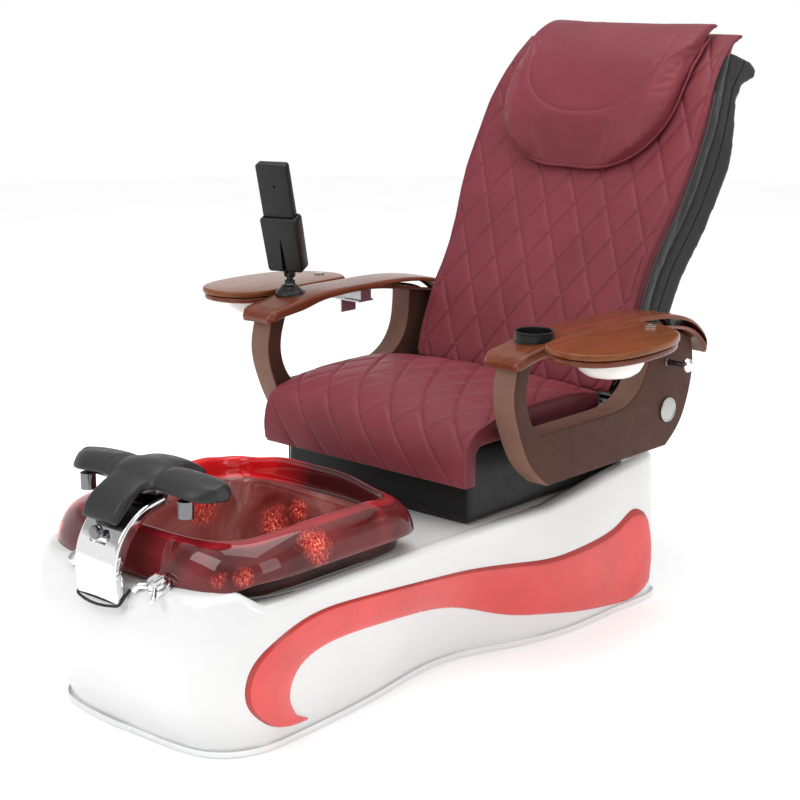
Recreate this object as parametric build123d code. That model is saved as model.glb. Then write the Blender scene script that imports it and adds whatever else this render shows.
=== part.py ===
from build123d import *
import os
from math import cos, pi, radians, sin

# Pedicure spa chair in millimetres. +Z is up and Z = 0 is the floor, -Y is the front
# (foot basin), +Y is the rear and +X is the sitter's left. The origin is on the floor
# under the middle of the whole chair, with the back leaning as it is stored.

# ---- driving dimensions ----
LENGTH_HALF = 957            # front of the footrest bracket, and rear of the back's top lip
TRIM_GAP = 2                 # skirt and trim stop this far above the floor
TRIM_HEIGHT = 14
WALL = 6                     # base shell wall
DECK_Z = 320                 # flat deck that the seat slides over
DECK_REAR_Z = 366            # top of the cheeks behind the seat
CHEEK_X = 292                # inside of the cheeks
BASE_REAR_Y = 525
BOX_X = 280                  # black seat box, half width
BOX_FRONT_Y = -145
BOX_REAR_Y = 440
BOX_TOP_Z = 500
PAN_Z = 360                  # underside of the seat pan
PAN_THICKNESS = 12
CUSHION_X = 317              # seat cushion, half width
BACK_X = 314                 # back cushion, half width beside the arm pads
SHOULDER_X = 340             # back cushion, half width at the shoulders
BACK_SPLIT = 470             # where the back's two foam blocks meet, up from the recline axis
SHELL_INSET = 14             # back shell, narrower than the cushion on each side
PILLOW_X = 254               # head pillow, half width
PIVOT_Y = 350                # recline axis
PIVOT_Z = 455
RECLINE = 28                 # lean of the back from upright, degrees
TUBE_R = 14                  # recline tube
ARM_IN = 343                 # arm panel, inner and outer face
ARM_OUT = 405
PAD_IN = 322                 # wooden arm pad, inner and outer edge
PAD_OUT = 430
ARM_PIVOT_Y = 437            # axis the arm lifts about
ARM_PIVOT_Z = 499
STUB_R = 12                  # arm stub shaft
FIT = 0.05                   # radial clearance of pins and shafts
TRAY_Z = 734                 # underside of the tray lid
TRAY_BOLT = (510, 200)       # axis the tray lid swings about
BOWL_CENTRE = (542, 4)
BOWL_R = 75
CUP_CENTRE = (374, -40)
CUP_R = 43
RAIL_X = 165                 # seat slide rail, centre
BASIN_FLOOR_Z = 188
CREST_Z = 440                # rim of the foot basin
APRON_Z = 366                # lower edge of the basin's apron
JET = (0, -500)
DRAIN = (0, -690)
TILT_AXIS = (-806, 490)      # footrest hinge, Y and Z
STAND = (-391, -22)          # remote stand on the right arm
REMOTE_PIVOT_Z = 790
REMOTE_TURN = 20
REMOTE_LEAN = 18
MASSAGE_U = 420              # massage carriage, measured up the back from the recline axis

SIDES = {"left": 1, "right": -1}
UP = (0, 0, 1)
ALONG_X = (1, 0, 0)
ALONG_Y = (0, 1, 0)


# ---- helpers ----
def block(x0, x1, y0, y1, z0, z1):
    centre = Pos((x0 + x1) / 2, (y0 + y1) / 2, (z0 + z1) / 2)
    return centre * Box(x1 - x0, y1 - y0, z1 - z0)


def rod(start, direction, radius, length):
    plane = Plane(origin=start, z_dir=direction)
    return plane * Cylinder(radius, length, align=(Align.CENTER, Align.CENTER, Align.MIN))


def side_face(points):
    return make_face(Plane.YZ * Polyline(*points, close=True))


def side_prism(face, x0, x1):
    return Pos(x0, 0, 0) * extrude(face, x1 - x0, dir=ALONG_X)


def raised(face, height):
    return extrude(face, height, dir=UP)


def side_curve(*runs):
    """A closed outline in the YZ plane, one smooth curve per run of points."""
    edges = [Plane.YZ * (Spline(*run) if len(run) > 2 else Line(*run)) for run in runs]
    return make_face(edges)


def plan_curve(points, z):
    return make_face(Pos(0, 0, z) * Spline(*points, periodic=True))


def rounded_plan(half, front, rear, z, power=3.2, count=20):
    """A rounded rectangle in plan, from a superellipse."""
    middle = (front + rear) / 2
    reach = (rear - front) / 2
    points = []
    for i in range(count):
        turn = 2 * pi * (i + 0.5) / count
        c = cos(turn)
        s = sin(turn)
        x = half * abs(c) ** (2 / power) * (1 if c > 0 else -1)
        y = middle + reach * abs(s) ** (2 / power) * (1 if s > 0 else -1)
        points.append((x, y))
    return plan_curve(points, z)


def on_side(solid, side):
    """A solid drawn for the left arm, on its own side."""
    return solid if SIDES[side] > 0 else mirror(solid, Plane.YZ)


def back_point(u, n):
    """Y and Z of a point u up the back from the recline axis and n behind it."""
    lean = radians(RECLINE)
    y = PIVOT_Y + u * sin(lean) + n * cos(lean)
    z = PIVOT_Z + u * cos(lean) - n * sin(lean)
    return (y, z)


def back_profile(*points):
    return [back_point(u, n) for u, n in points]


def back_block(x0, x1, u0, u1, n0, n1):
    return side_prism(side_face(back_profile((u0, n0), (u1, n0), (u1, n1), (u0, n1))), x0, x1)


def back_outline(points):
    """Everything inside an outline drawn on the back as (half width, distance up)."""
    lean = radians(RECLINE)
    plane = Plane(origin=(0, PIVOT_Y, PIVOT_Z), x_dir=ALONG_X, z_dir=(0, -cos(lean), sin(lean)))
    right = Spline(*points)
    left = Spline(*[(-x, u) for x, u in points])
    ends = [Line((-points[i][0], points[i][1]), points[i]) for i in (0, -1) if points[i][0] > 0]
    face = plane * make_face([right, left] + ends)
    return extrude(face, 300, both=True)


def back_width(inset):
    """Half widths up the back: narrow between the arms, wide at the shoulders."""
    low = BACK_X - inset
    wide = SHOULDER_X - inset
    return back_outline([(low - 12, 60), (low, 130), (low, 430), (wide - 8, 540), (wide, 660),
                         (wide - 4, 800), (low + 8, 900), (low, 980), (low - 4, 1060)])


BACK_AXIS = (0, sin(radians(RECLINE)), cos(radians(RECLINE)))


def pair(solid):
    """The solid and its mirror image across the middle of the chair."""
    return [solid, mirror(solid, Plane.YZ)]


def write(node, shape):
    solids = shape if isinstance(shape, list) else list(shape.solids())
    whole = solids[0] if len(solids) == 1 else Compound(children=solids)
    export_step(whole, "parts/" + node + ".step")


# ---- base ----
# height, front end, then half widths from front to rear
LEVELS = [
    (16, -885, (282, 260, 240, 302, 331, 338)),
    (120, -930, (300, 280, 262, 312, 334, 338)),
    (230, -950, (316, 304, 296, 320, 334, 336)),
    (316, -925, (318, 316, 314, 322, 330, 332)),
    (380, -890, (312, 312, 312, 318, 326, 328)),
]
STATIONS = (-690, -409, -160, 21, 143, 400)


def base_outline(level, grow, z=None):
    height, nose, halves = level
    front = nose - grow
    rear = BASE_REAR_Y + grow
    first = halves[0] + grow
    tail = halves[-1] + grow
    side = [(150, front + 6), (0.82 * first, front + 34), (0.97 * first, front + 96)]
    side += [(half + grow, y) for half, y in zip(halves, STATIONS)]
    side += [(tail - 2, rear - 38), (tail - 18, rear - 8), (tail - 60, rear)]
    points = [(0, front)] + side + [(0, rear)] + [(-x, y) for x, y in reversed(side)]
    return plan_curve(points, height if z is None else z)


def base_body(grow):
    skirt = raised(base_outline(LEVELS[0], grow, TRIM_GAP), LEVELS[0][0] - TRIM_GAP)
    return skirt + loft([base_outline(level, grow) for level in LEVELS])


def above_deck():
    """Everything over the deck, which steps up at the nose and rises behind the seat."""
    front = -LENGTH_HALF - 50
    rear = BASE_REAR_Y + 50
    top = 500
    line = [(front, 262), (-900, 348), (-842, 352), (-800, DECK_Z), (100, DECK_Z)]
    line += [(480, DECK_REAR_Z), (rear, DECK_REAR_Z), (rear, top), (front, top)]
    well = block(-CHEEK_X, CHEEK_X, -300, 482, DECK_Z, top)
    return side_prism(side_face(line), -400, 400) + well


def base_shell():
    cut = above_deck()
    outer = base_body(0) - cut
    inner = Pos(0, 0, -WALL) * (base_body(-WALL) - cut)
    shell = outer - inner - raised(rounded_plan(282, -850, -330, 150), 300)
    shell -= rod(along(TAP, TAP_AXIS, -40), TAP_AXIS, 32.2, 80)
    shell -= rod(along(SPRAY, TAP_AXIS, -40), TAP_AXIS, 22.2, 80)
    shell -= footrest_bracket()
    shell -= block(-400, 400, -1000, 600, -20, TRIM_GAP)
    return shell - block(-140, 140, BASE_REAR_Y - 30, BASE_REAR_Y + 10, 70, 250)


def base_trim():
    lower = TRIM_GAP
    outer = raised(base_outline(LEVELS[0], 5.5, lower), TRIM_HEIGHT - lower)
    return outer - raised(base_outline(LEVELS[0], 0.2, lower), TRIM_HEIGHT - lower)


def accent():
    """Raised wave on the side: a curl at the front that runs back to a tall tail."""
    curl = [(-654, 31), (-741, 43), (-825, 115), (-830, 204), (-767, 250), (-659, 272), (-537, 268)]
    crest = [(-400, 255), (-133, 224), (100, 197), (206, 200), (294, 208), (362, 224), (415, 245)]
    tail = [(415, 245), (454, 228), (475, 160), (483, 85), (470, 38), (431, 18), (359, 19)]
    belly = [(269, 29), (157, 49), (-140, 125), (-365, 174), (-594, 193), (-660, 185)]
    hook = [(-700, 165), (-719, 112), (-702, 71), (-654, 31)]
    face = side_curve(curl + crest, tail + belly + hook)
    return (side_prism(face, 150, 400) & base_body(8)) - base_body(0.2)


def base_feet():
    spots = [(x, y) for x in (-RAIL_X, RAIL_X) for y in (-560, -60, 430)]
    return [rod((x, y, 0), UP, 22, 12) for x, y in spots]


def chassis_tubes():
    rails = pair(block(RAIL_X - 20, RAIL_X + 20, -600, 480, 12, 42))
    span = RAIL_X - 20
    ties = [block(-span, span, y - 20, y + 20, 12, 42) for y in (-560, -60, 430)]
    posts = []
    for y in (-60, 430):
        posts += pair(block(RAIL_X - 15, RAIL_X + 15, y - 15, y + 15, 42, DECK_Z - WALL))
    return rails + ties + posts


def slide_rails():
    channel = block(RAIL_X - 20, RAIL_X + 20, -95, 470, DECK_Z, DECK_Z + 20)
    groove = block(RAIL_X - 17, RAIL_X + 17, -120, 480, DECK_Z + 3, DECK_Z + 30)
    return pair(channel - groove)


def slide_actuator():
    body = block(-18, 18, 150, 410, DECK_Z, DECK_Z + 34)
    return body - rod((0, 140, DECK_Z + 18), ALONG_Y, 6 + FIT, 260)


def basin():
    apron = loft([rounded_plan(310, -888, -306, APRON_Z), rounded_plan(301, -878, -312, 398),
                  rounded_plan(262, -842, -336, CREST_Z)])
    tier = raised(rounded_plan(281, -849, -331, DECK_Z + 1), APRON_Z - DECK_Z - 1)
    bowl = loft([rounded_plan(165, -775, -410, 180), rounded_plan(225, -800, -375, 250),
                 rounded_plan(262, -830, -345, DECK_Z + 1)])
    cavity = loft([rounded_plan(150, -762, -424, BASIN_FLOOR_Z), rounded_plan(208, -786, -390, 255),
                   rounded_plan(238, -812, -364, 340), rounded_plan(250, -830, -350, CREST_Z + 2)])
    drain_hole = rod((DRAIN[0], DRAIN[1], 170), UP, 22, 40)
    jet_hole = rod((JET[0], JET[1], 170), UP, 10, 40)
    return apron + tier + bowl - cavity - drain_hole - jet_hole


def drain_strainer():
    plate = rod((*DRAIN, BASIN_FLOOR_Z), UP, 38, 3) + rod((*DRAIN, 176), UP, 21.8, 14)
    for ring in range(6):
        turn = radians(60 * ring)
        plate -= rod((DRAIN[0] + 12 * cos(turn), DRAIN[1] + 12 * sin(turn), 170), UP, 3, 30)
    return plate


def drain_pipe():
    drop = rod((*DRAIN, 75), UP, 19, 101)
    run = rod((DRAIN[0], DRAIN[1], 75), ALONG_Y, 19, 560)
    return drop + run + Pos(DRAIN[0], DRAIN[1], 75) * Sphere(19)


def jet_housing():
    x, y = JET
    base = rod((x, y, BASIN_FLOOR_Z), UP, 48, 3) + rod((x, y, BASIN_FLOOR_Z + 3), UP, 48, 15)
    cup = base - rod((x, y, BASIN_FLOOR_Z + 3), UP, 43, 20)
    pin = rod((x, y, BASIN_FLOOR_Z + 3), UP, 3, 11)
    motor = rod((x, y, 110), UP, 45, 70) + rod((x, y, 180), UP, 9.8, 8)
    return cup + pin + motor


def jet_impeller():
    x, y = JET
    low = BASIN_FLOOR_Z + 4
    wheel = rod((x, y, low), UP, 36, 2) + rod((x, y, low), UP, 9, 10)
    for blade in range(6):
        wheel += Pos(x, y, low + 5) * Rot(0, 0, 60 * blade) * Pos(20, 0, 0) * Box(28, 3, 6)
    return wheel - rod((x, y, low - 1), UP, 3 + FIT, 20)


def jet_cover():
    x, y = JET
    low = BASIN_FLOOR_Z + 18
    cover = rod((x, y, low), UP, 50, 4)
    for slot in range(8):
        cover -= Pos(x, y, low + 2) * Rot(0, 0, 45 * slot) * Pos(27, 0, 0) * Box(24, 5, 10)
    return cover


def access_panel():
    panel = block(-155, 155, BASE_REAR_Y, BASE_REAR_Y + 3, 60, 260)
    panel -= block(-27, 27, BASE_REAR_Y - 5, BASE_REAR_Y + 10, 78, 122)
    for x in (-146, 146):
        for z in (69, 251):
            panel += rod((x, BASE_REAR_Y + 3, z), ALONG_Y, 5, 2)
    return panel


def control_box():
    case = block(-185, 185, 250, 410, 42, 170)
    return case + block(-26, 26, 410, BASE_REAR_Y + 4, 80, 120)


# ---- taps on the nose of the base ----
TAP_AXIS = (0, -0.5, 0.866)
TAP = (128, -884, 320)
SPRAY = (-128, -884, 320)


def along(start, axis, distance):
    return tuple(s + a * distance for s, a in zip(start, axis))


def faucet_body():
    plate = rod(TAP, TAP_AXIS, 32, 22)
    return plate + rod(along(TAP, TAP_AXIS, 22), TAP_AXIS, 25, 14)


def faucet_lever():
    start = along(TAP, TAP_AXIS, 36.5)
    hub = rod(start, TAP_AXIS, 22, 14)
    lever = rod(along(start, TAP_AXIS, 7), (0.6, -0.6929, -0.4), 5.5, 62)
    return hub + lever


def sprayer_holder():
    ring = rod(SPRAY, TAP_AXIS, 22, 24)
    return ring - rod(along(SPRAY, TAP_AXIS, 6), TAP_AXIS, 12 + 0.4, 30)


def hand_sprayer():
    handle = rod(along(SPRAY, TAP_AXIS, 7), TAP_AXIS, 12, 30)
    return handle + rod(along(SPRAY, TAP_AXIS, 25), TAP_AXIS, 17, 16)


# ---- footrest ----
def footrest_bracket():
    """Broad chrome arch that rises from the nose and curls back under the pad."""
    front = [(-948, 262), (-LENGTH_HALF, 340), (-951, 405), (-920, 456), (-870, 488), (-815, 500)]
    rear = [(-800, 480), (-862, 466), (-904, 428), (-926, 385), (-931, 335), (-926, 300)]
    face = side_curve(front, [front[-1], rear[0]], rear, [rear[-1], front[0]])
    arch = side_prism(face, -62, 62)
    arch += rod((-30, *TILT_AXIS), ALONG_X, 11, 60)
    arch -= rod((-40, *TILT_AXIS), ALONG_X, 5 + FIT, 80)
    for x0 in (-70, 30.5):
        arch -= rod((x0, *TILT_AXIS), ALONG_X, 14, 39.5) + block(x0, x0 + 39.5, -822, -780, 480, 530)
    notch = block(-24, 24, -1000, -939, 418, 470)
    return arch - notch


def footrest_plate():
    deck = block(-46, 46, -862, -742, 509, 515)
    for x0 in (-39, 31):
        deck += rod((x0, *TILT_AXIS), ALONG_X, 11, 8)
        deck += block(x0, x0 + 8, TILT_AXIS[0] - 11, TILT_AXIS[0] + 11, TILT_AXIS[1], 512)
    pin = rod((-39, *TILT_AXIS), ALONG_X, 5, 78)
    beam = block(-170, 170, -835, -805, 509, 515)
    posts = pair(rod((150, -845, 478), UP, 16, 34))
    return deck + pin + beam + posts[0] + posts[1]


def footrest_pad():
    """T-shaped pad: a saddle ridge for the calf and a wing each side for the foot."""
    top = [(-946, 462), (-924, 503), (-885, 527), (-833, 547), (-780, 556), (-730, 545), (-694, 520)]
    under = [(-700, 512), (-745, 520), (-800, 521), (-862, 515), (-905, 486), (-930, 458)]
    ridge_face = side_curve(top, [top[-1], under[0]], under, [under[-1], top[0]])
    ridge = side_prism(ridge_face, -52, 52)
    wing = [(-868, 522), (-850, 545), (-815, 558), (-775, 552), (-748, 530), (-760, 517)]
    wing_face = side_curve(wing, [wing[-1], wing[0]])
    wings = side_prism(wing_face, -214, 214)
    return ridge + wings


def footrest_knob():
    return rod((0, -LENGTH_HALF, 441), ALONG_Y, 14, 17.5)


# ---- seat ----
def seat_runners():
    return pair(block(RAIL_X - 16, RAIL_X + 16, 20, 425, DECK_Z + 4, PAN_Z))


def seat_pan():
    return block(-240, 240, -120, 425, PAN_Z, PAN_Z + PAN_THICKNESS)


def seat_box():
    """Black upholstered box with a skirt behind it, open below for the slides."""
    low = DECK_Z + 1.5
    box = block(-BOX_X, BOX_X, BOX_FRONT_Y, 300, low, BOX_TOP_Z)
    skirt = block(-BOX_X, BOX_X, 300, BOX_REAR_Y, low, 425)
    box -= block(-262, 262, BOX_FRONT_Y + 14, 310, 300, PAN_Z + PAN_THICKNESS)
    skirt -= block(-BOX_X + 12, BOX_X - 12, 290, BOX_REAR_Y - 12, 300, 450)
    skirt -= block(-BOX_X + 12, BOX_X - 12, 400, BOX_REAR_Y + 10, 300, DECK_Z + 42)
    return box + skirt


def seat_cushion():
    """Quilted pad with a waterfall front that hangs over the box."""
    nose = [(-196, 414), (-199, 455), (-196, 495), (-180, 530), (-145, 552)]
    top = [(-145, 552), (-60, 566), (80, 574), (220, 568), (303, 552)]
    under = BOX_TOP_Z + 1
    face = side_curve(nose, top, [(303, 552), (303, under)], [(303, under), (BOX_FRONT_Y - 3, under)],
                      [(BOX_FRONT_Y - 3, under), (BOX_FRONT_Y - 3, 414)],
                      [(BOX_FRONT_Y - 3, 414), nose[0]])
    return side_prism(face, -CUSHION_X, CUSHION_X)


def actuator_rod():
    shaft = rod((0, -60, DECK_Z + 18), ALONG_Y, 6, 420)
    return shaft + block(-16, 16, -76, -60, DECK_Z + 8, PAN_Z)


def recline_frame():
    """Cross tube that the back turns on, its ears, and the arm plates with their stub shafts."""
    tube = rod((-332, PIVOT_Y, PIVOT_Z), ALONG_X, TUBE_R, 664)
    plate = [(328, 436), (372, 436), (463, 487), (463, 513), (423, 523), (328, 478)]
    frame = tube
    for piece in pair(block(230, 240, 325, 375, PAN_Z + PAN_THICKNESS, PIVOT_Z)):
        frame += piece
    for piece in pair(side_prism(side_face(plate), 322, 332)):
        frame += piece
    for piece in pair(rod((332, ARM_PIVOT_Y, ARM_PIVOT_Z), ALONG_X, STUB_R, 68)):
        frame += piece
    return frame


def recline_motor():
    return block(60, 150, 315, 385, PAN_Z + PAN_THICKNESS, PIVOT_Z - TUBE_R)


# ---- back ----
def back_shell():
    outer = back_profile((68, 14), (68, 98), (120, 114), (620, 120), (720, 128), (800, 112),
                         (880, 92), (930, 106), (975, 154), (996, 158), (1003, 122), (986, 40),
                         (976, 14))
    inner = back_profile((80, 0), (80, 98), (700, 110), (860, 82), (860, 0))
    shell = side_prism(side_face(outer), -SHOULDER_X, SHOULDER_X) & back_width(SHELL_INSET)
    shell -= side_prism(side_face(inner), -276, 276)
    for side in (-1, 1):
        shell -= back_block(206 * side - 8, 206 * side + 8, 60, 90, 0, 74)
    return shell


def back_cushion():
    """The pad's foam is in two blocks, a lower one between the arms and a wider upper one."""
    front = back_profile((68, -50), (264, -72), (456, -72), (600, -68), (732, -64), (897, -50),
                         (962, -28), (1042, 35))
    rear = back_profile((1042, 35), (1032, 48), (1008, 28), (992, 12))
    foot = back_profile((992, 12), (68, 12))
    face = side_curve(front, rear, foot, [foot[-1], front[0]])
    pad = side_prism(face, -SHOULDER_X, SHOULDER_X) & back_width(0)
    return pad - back_block(-400, 400, BACK_SPLIT - 0.2, BACK_SPLIT + 0.2, -200, 200)


def head_pillow():
    """A wide pad with a rounded lower edge, which hooks over the top of the back."""
    front = back_profile((606, -69.5), (630, -96), (720, -114), (860, -108), (950, -84), (1002, -44),
                         (1052, 22))
    rear = back_profile((1052, 22), (1045, 31))
    inner = back_profile((1045, 31), (964, -30), (897, -52), (732, -66), (606, -69.5))
    wide = PILLOW_X
    outline = [(0, 604), (0.36 * wide, 614), (0.64 * wide, 640), (0.84 * wide, 686), (0.96 * wide, 750),
               (wide, 830), (wide, 930), (wide + 4, 990), (wide - 4, 1060)]
    return side_prism(side_curve(front, rear, inner), -300, 300) & back_outline(outline)


def back_frame():
    bars = []
    for side in (-1, 1):
        x = 206 * side
        bar = back_block(x - 6, x + 6, 0, 846, 30, 70) - back_block(x - 6, x + 6, -10, 60, 45, 90)
        bar += back_block(x - 6, x + 6, -4, 90, -20, 46)
        bar += rod((x - 6, PIVOT_Y, PIVOT_Z), ALONG_X, 26, 12)
        bar -= rod((x - 10, PIVOT_Y, PIVOT_Z), ALONG_X, TUBE_R + FIT, 20)
        bars.append(bar - back_block(x - 7, x + 7, 60, 100, -30, 13))
    bars += [back_block(-200, 200, u, u + 30, 30, 74) for u in (90, 816)]
    return bars


def massage_rails():
    y, z = back_point(80, 80)
    return pair(rod((120, y, z), BACK_AXIS, 6, 750))


def massage_carriage():
    body = back_block(-142, 142, MASSAGE_U - 40, MASSAGE_U + 40, 66, 95)
    for side in (-1, 1):
        y, z = back_point(MASSAGE_U - 50, 80)
        body -= rod((120 * side, y, z), BACK_AXIS, 6 + FIT, 100)
        x = 70 * side
        body += back_block(x - 4, x + 4, MASSAGE_U - 14, MASSAGE_U + 14, 32, 66)
    y, z = back_point(MASSAGE_U, 42)
    return body - rod((-80, y, z), ALONG_X, 5 + FIT, 160)


def massage_rollers():
    y, z = back_point(MASSAGE_U, 42)
    axle = rod((-78, y, z), ALONG_X, 5, 156)
    for x0 in (-60, 24):
        axle += rod((x0, y, z), ALONG_X, 22, 36)
    return axle


# ---- arms, drawn for the left side ----
def arm_panel():
    """Thick side panel with a long window under the wooden pad."""
    front = [(-131, 696), (-144, 631), (-121, 539), (-81, 465), (-19, 410)]
    rear = [(438, 410), (492, 454), (528, 521), (542, 610), (530, 668)]
    top = [(530, 668), (400, 701), (300, 717), (232, 727), (151, 731), (80, 729), (18, 723),
           (-37, 711), (-131, 696)]
    outline = side_curve(front, [front[-1], rear[0]], rear, top)
    sill = 531
    window = [(-79, 760), (-100, 634), (-86, 573), (-55, sill)]
    jamb = [(185, sill), (284, 545), (344, 600), (362, 690), (362, 760)]
    opening = side_curve(window, [window[-1], jamb[0]], jamb, [jamb[-1], window[0]])
    panel = side_prism(outline, ARM_IN, ARM_OUT) - side_prism(opening, ARM_IN - 5, ARM_OUT + 5)
    panel -= rod((ARM_IN - 5, ARM_PIVOT_Y, ARM_PIVOT_Z), ALONG_X, STUB_R + FIT, 64)
    return panel - side_prism(pad_face(), ARM_IN - 5, ARM_OUT + 5)


def pad_face():
    top = [(-157, 704), (-148, 716), (-108, 729), (-56, 738), (46, 748), (150, 748), (330, 744),
           (432, 731), (515, 703), (586, 640)]
    under = [(572, 618), (500, 677), (400, 702), (300, 718), (232, 728), (151, 732), (80, 730),
             (18, 724), (-37, 712), (-113, 702), (-152, 692)]
    return side_curve(top, [top[-1], under[0]], under, [under[-1], top[0]])


def arm_pad(side):
    pad = side_prism(pad_face(), PAD_IN, PAD_OUT)
    if side == "left":
        pad -= rod((*CUP_CENTRE, 724), UP, CUP_R + 0.2, 60)
    else:
        pad -= rod((-STAND[0], STAND[1], 738), UP, 38, 60)
    return pad


def pivot_cap():
    return rod((ARM_OUT, ARM_PIVOT_Y, ARM_PIVOT_Z), ALONG_X, 30, 6)


def tray_face(shrink):
    inner = PAD_OUT + 4 + shrink
    outline = [(inner, -50), (454 + shrink, -108), (496, -136 + shrink), (542, -143 + shrink),
               (588, -129 + shrink), (620 - shrink, -90), (637 - shrink, -20),
               (637 - shrink, 60), (622 - shrink, 140), (584 - shrink, 200 - shrink),
               (530, 234 - shrink), (474, 242 - shrink), (inner, 216)]
    return make_face([Spline(*outline), Line(outline[-1], outline[0])])


def tray_ring():
    ring = Pos(0, 0, TRAY_Z - 15) * raised(tray_face(4), 14)
    ring -= rod((*BOWL_CENTRE, TRAY_Z - 20), UP, BOWL_R + 0.5, 30)
    ring -= rod((*BOWL_CENTRE, TRAY_Z - 5), UP, BOWL_R + 8.5, 10)
    return ring - rod((*TRAY_BOLT, TRAY_Z - 20), UP, 6 + FIT, 30)


def tray_bowl():
    low = TRAY_Z - 58
    lip = TRAY_Z - 5
    top = TRAY_Z - 1
    r = BOWL_R
    points = [(0, low), (44, low), (62, low + 12), (r, low + 42), (r, lip), (r + 8, lip),
              (r + 8, top), (r - 3, top), (r - 3, low + 43), (60, low + 16), (43, low + 4), (0, low + 4)]
    half = make_face(Plane.XZ * Polyline(*points, close=True))
    return Pos(*BOWL_CENTRE, 0) * revolve(half, Axis.Z)


def tray_bracket():
    """Sheet arm under the pad with a boss and the bolt that the lid turns on."""
    x, y = TRAY_BOLT
    low = TRAY_Z - 37
    plate = block(345, 528, 174, 226, low, low + 4)
    spacer = block(345, 400, 180, 218, low + 4, 728)
    boss = rod((x, y, low + 4), UP, 15, 18)
    gusset = block(ARM_OUT + 1, ARM_OUT + 5, 174, 226, low - 32, low)
    bolt = rod((x, y, low + 4), UP, 6, 50) + rod((x, y, TRAY_Z + 14.5), UP, 12, 3)
    return plate + spacer + boss + gusset + bolt


def tray_lid():
    lid = Pos(0, 0, TRAY_Z) * raised(tray_face(0), 14)
    return lid - rod((*TRAY_BOLT, TRAY_Z - 5), UP, 6 + FIT, 30)


def cup_ring():
    ring = rod((*CUP_CENTRE, 724), UP, CUP_R, 34)
    return ring - rod((*CUP_CENTRE, 727), UP, CUP_R - 4, 40)


def purse_hook():
    base = (ARM_OUT, 430, 615)
    return rod(base, ALONG_X, 6, 52) + rod((ARM_OUT + 46, 430, 615), ALONG_X, 17, 24)


# ---- remote control and its stand ----
REMOTE = Pos(STAND[0], STAND[1], REMOTE_PIVOT_Z) * Rot(0, 0, REMOTE_TURN) * Rot(REMOTE_LEAN, 0, 0)
STAND_TURN = Pos(STAND[0], STAND[1], 0) * Rot(0, 0, REMOTE_TURN)


def remote_stand():
    puck = rod((*STAND, 738.3), UP, 37, 13)
    neck = rod((*STAND, 751), UP, 13, REMOTE_PIVOT_Z - 765)
    fork = STAND_TURN * block(-5, 5, -9, 9, REMOTE_PIVOT_Z - 16, REMOTE_PIVOT_Z)
    eye = STAND_TURN * rod((-5, 0, REMOTE_PIVOT_Z), ALONG_X, 9, 10)
    hole = STAND_TURN * rod((-20, 0, REMOTE_PIVOT_Z), ALONG_X, 3 + FIT, 40)
    return puck + neck + fork + eye - hole


def remote_holder():
    pocket = block(-48, 48, -20, 20, 14, 156) - block(-42, 42, -14, 14, 20, 170)
    pocket -= block(-6, 6, -30, -10, 60, 170)
    pocket -= block(-30, 30, 10, 30, 40, 170)
    for x0 in (-12, 6):
        pocket += rod((x0, 0, 0), ALONG_X, 8, 6) + block(x0, x0 + 6, -8, 8, 0, 15)
    pocket += rod((-12, 0, 0), ALONG_X, 3, 24)
    return REMOTE * pocket


def remote_body():
    body = block(-40, 40, -11, 11, 22, 292)
    for z in (235, 258, 212):
        body -= rod((0, 8, z), ALONG_Y, 8.3, 10)
    return REMOTE * body


def remote_button(z):
    return REMOTE * rod((0, 9.6, z), ALONG_Y, 8, 4)


PARTS = {
    "base_shell": base_shell,
    "base_trim": base_trim,
    "base_feet": base_feet,
    "chassis_tubes": chassis_tubes,
    "slide_rails": slide_rails,
    "slide_actuator": slide_actuator,
    "basin": basin,
    "drain_strainer": drain_strainer,
    "drain_pipe": drain_pipe,
    "jet_housing": jet_housing,
    "jet_impeller": jet_impeller,
    "jet_cover": jet_cover,
    "access_panel": access_panel,
    "control_box": control_box,
    "faucet_body": faucet_body,
    "faucet_lever": faucet_lever,
    "sprayer_holder": sprayer_holder,
    "hand_sprayer": hand_sprayer,
    "footrest_bracket": footrest_bracket,
    "footrest_plate": footrest_plate,
    "footrest_pad": footrest_pad,
    "footrest_knob": footrest_knob,
    "seat_runners": seat_runners,
    "seat_pan": seat_pan,
    "seat_box": seat_box,
    "seat_cushion": seat_cushion,
    "actuator_rod": actuator_rod,
    "recline_frame": recline_frame,
    "recline_motor": recline_motor,
    "back_shell": back_shell,
    "back_cushion": back_cushion,
    "head_pillow": head_pillow,
    "back_frame": back_frame,
    "massage_rails": massage_rails,
    "massage_carriage": massage_carriage,
    "massage_rollers": massage_rollers,
    "cup_ring": cup_ring,
    "purse_hook": purse_hook,
    "remote_stand": remote_stand,
    "remote_holder": remote_holder,
    "remote_body": remote_body,
}
ARM_PARTS = {
    "arm_panel": arm_panel,
    "pivot_cap": pivot_cap,
    "tray_ring": tray_ring,
    "tray_bowl": tray_bowl,
    "tray_bracket": tray_bracket,
    "tray_lid": tray_lid,
}
BUTTONS = {"button_massage": 258, "button_recline": 235, "button_slide": 212}

os.makedirs("parts", exist_ok=True)
for name, make in PARTS.items():
    write(name, make())
for name, height in BUTTONS.items():
    write(name, remote_button(height))
for side in SIDES:
    write("accent_" + side, on_side(accent(), side))
    write("arm_pad_" + side, on_side(arm_pad(side), side))
    for name, make in ARM_PARTS.items():
        write(name + "_" + side, on_side(make(), side))
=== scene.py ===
import math
from contextlib import contextmanager
import bmesh
import bpy
import numpy as np
from mathutils import Matrix, Vector


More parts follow.
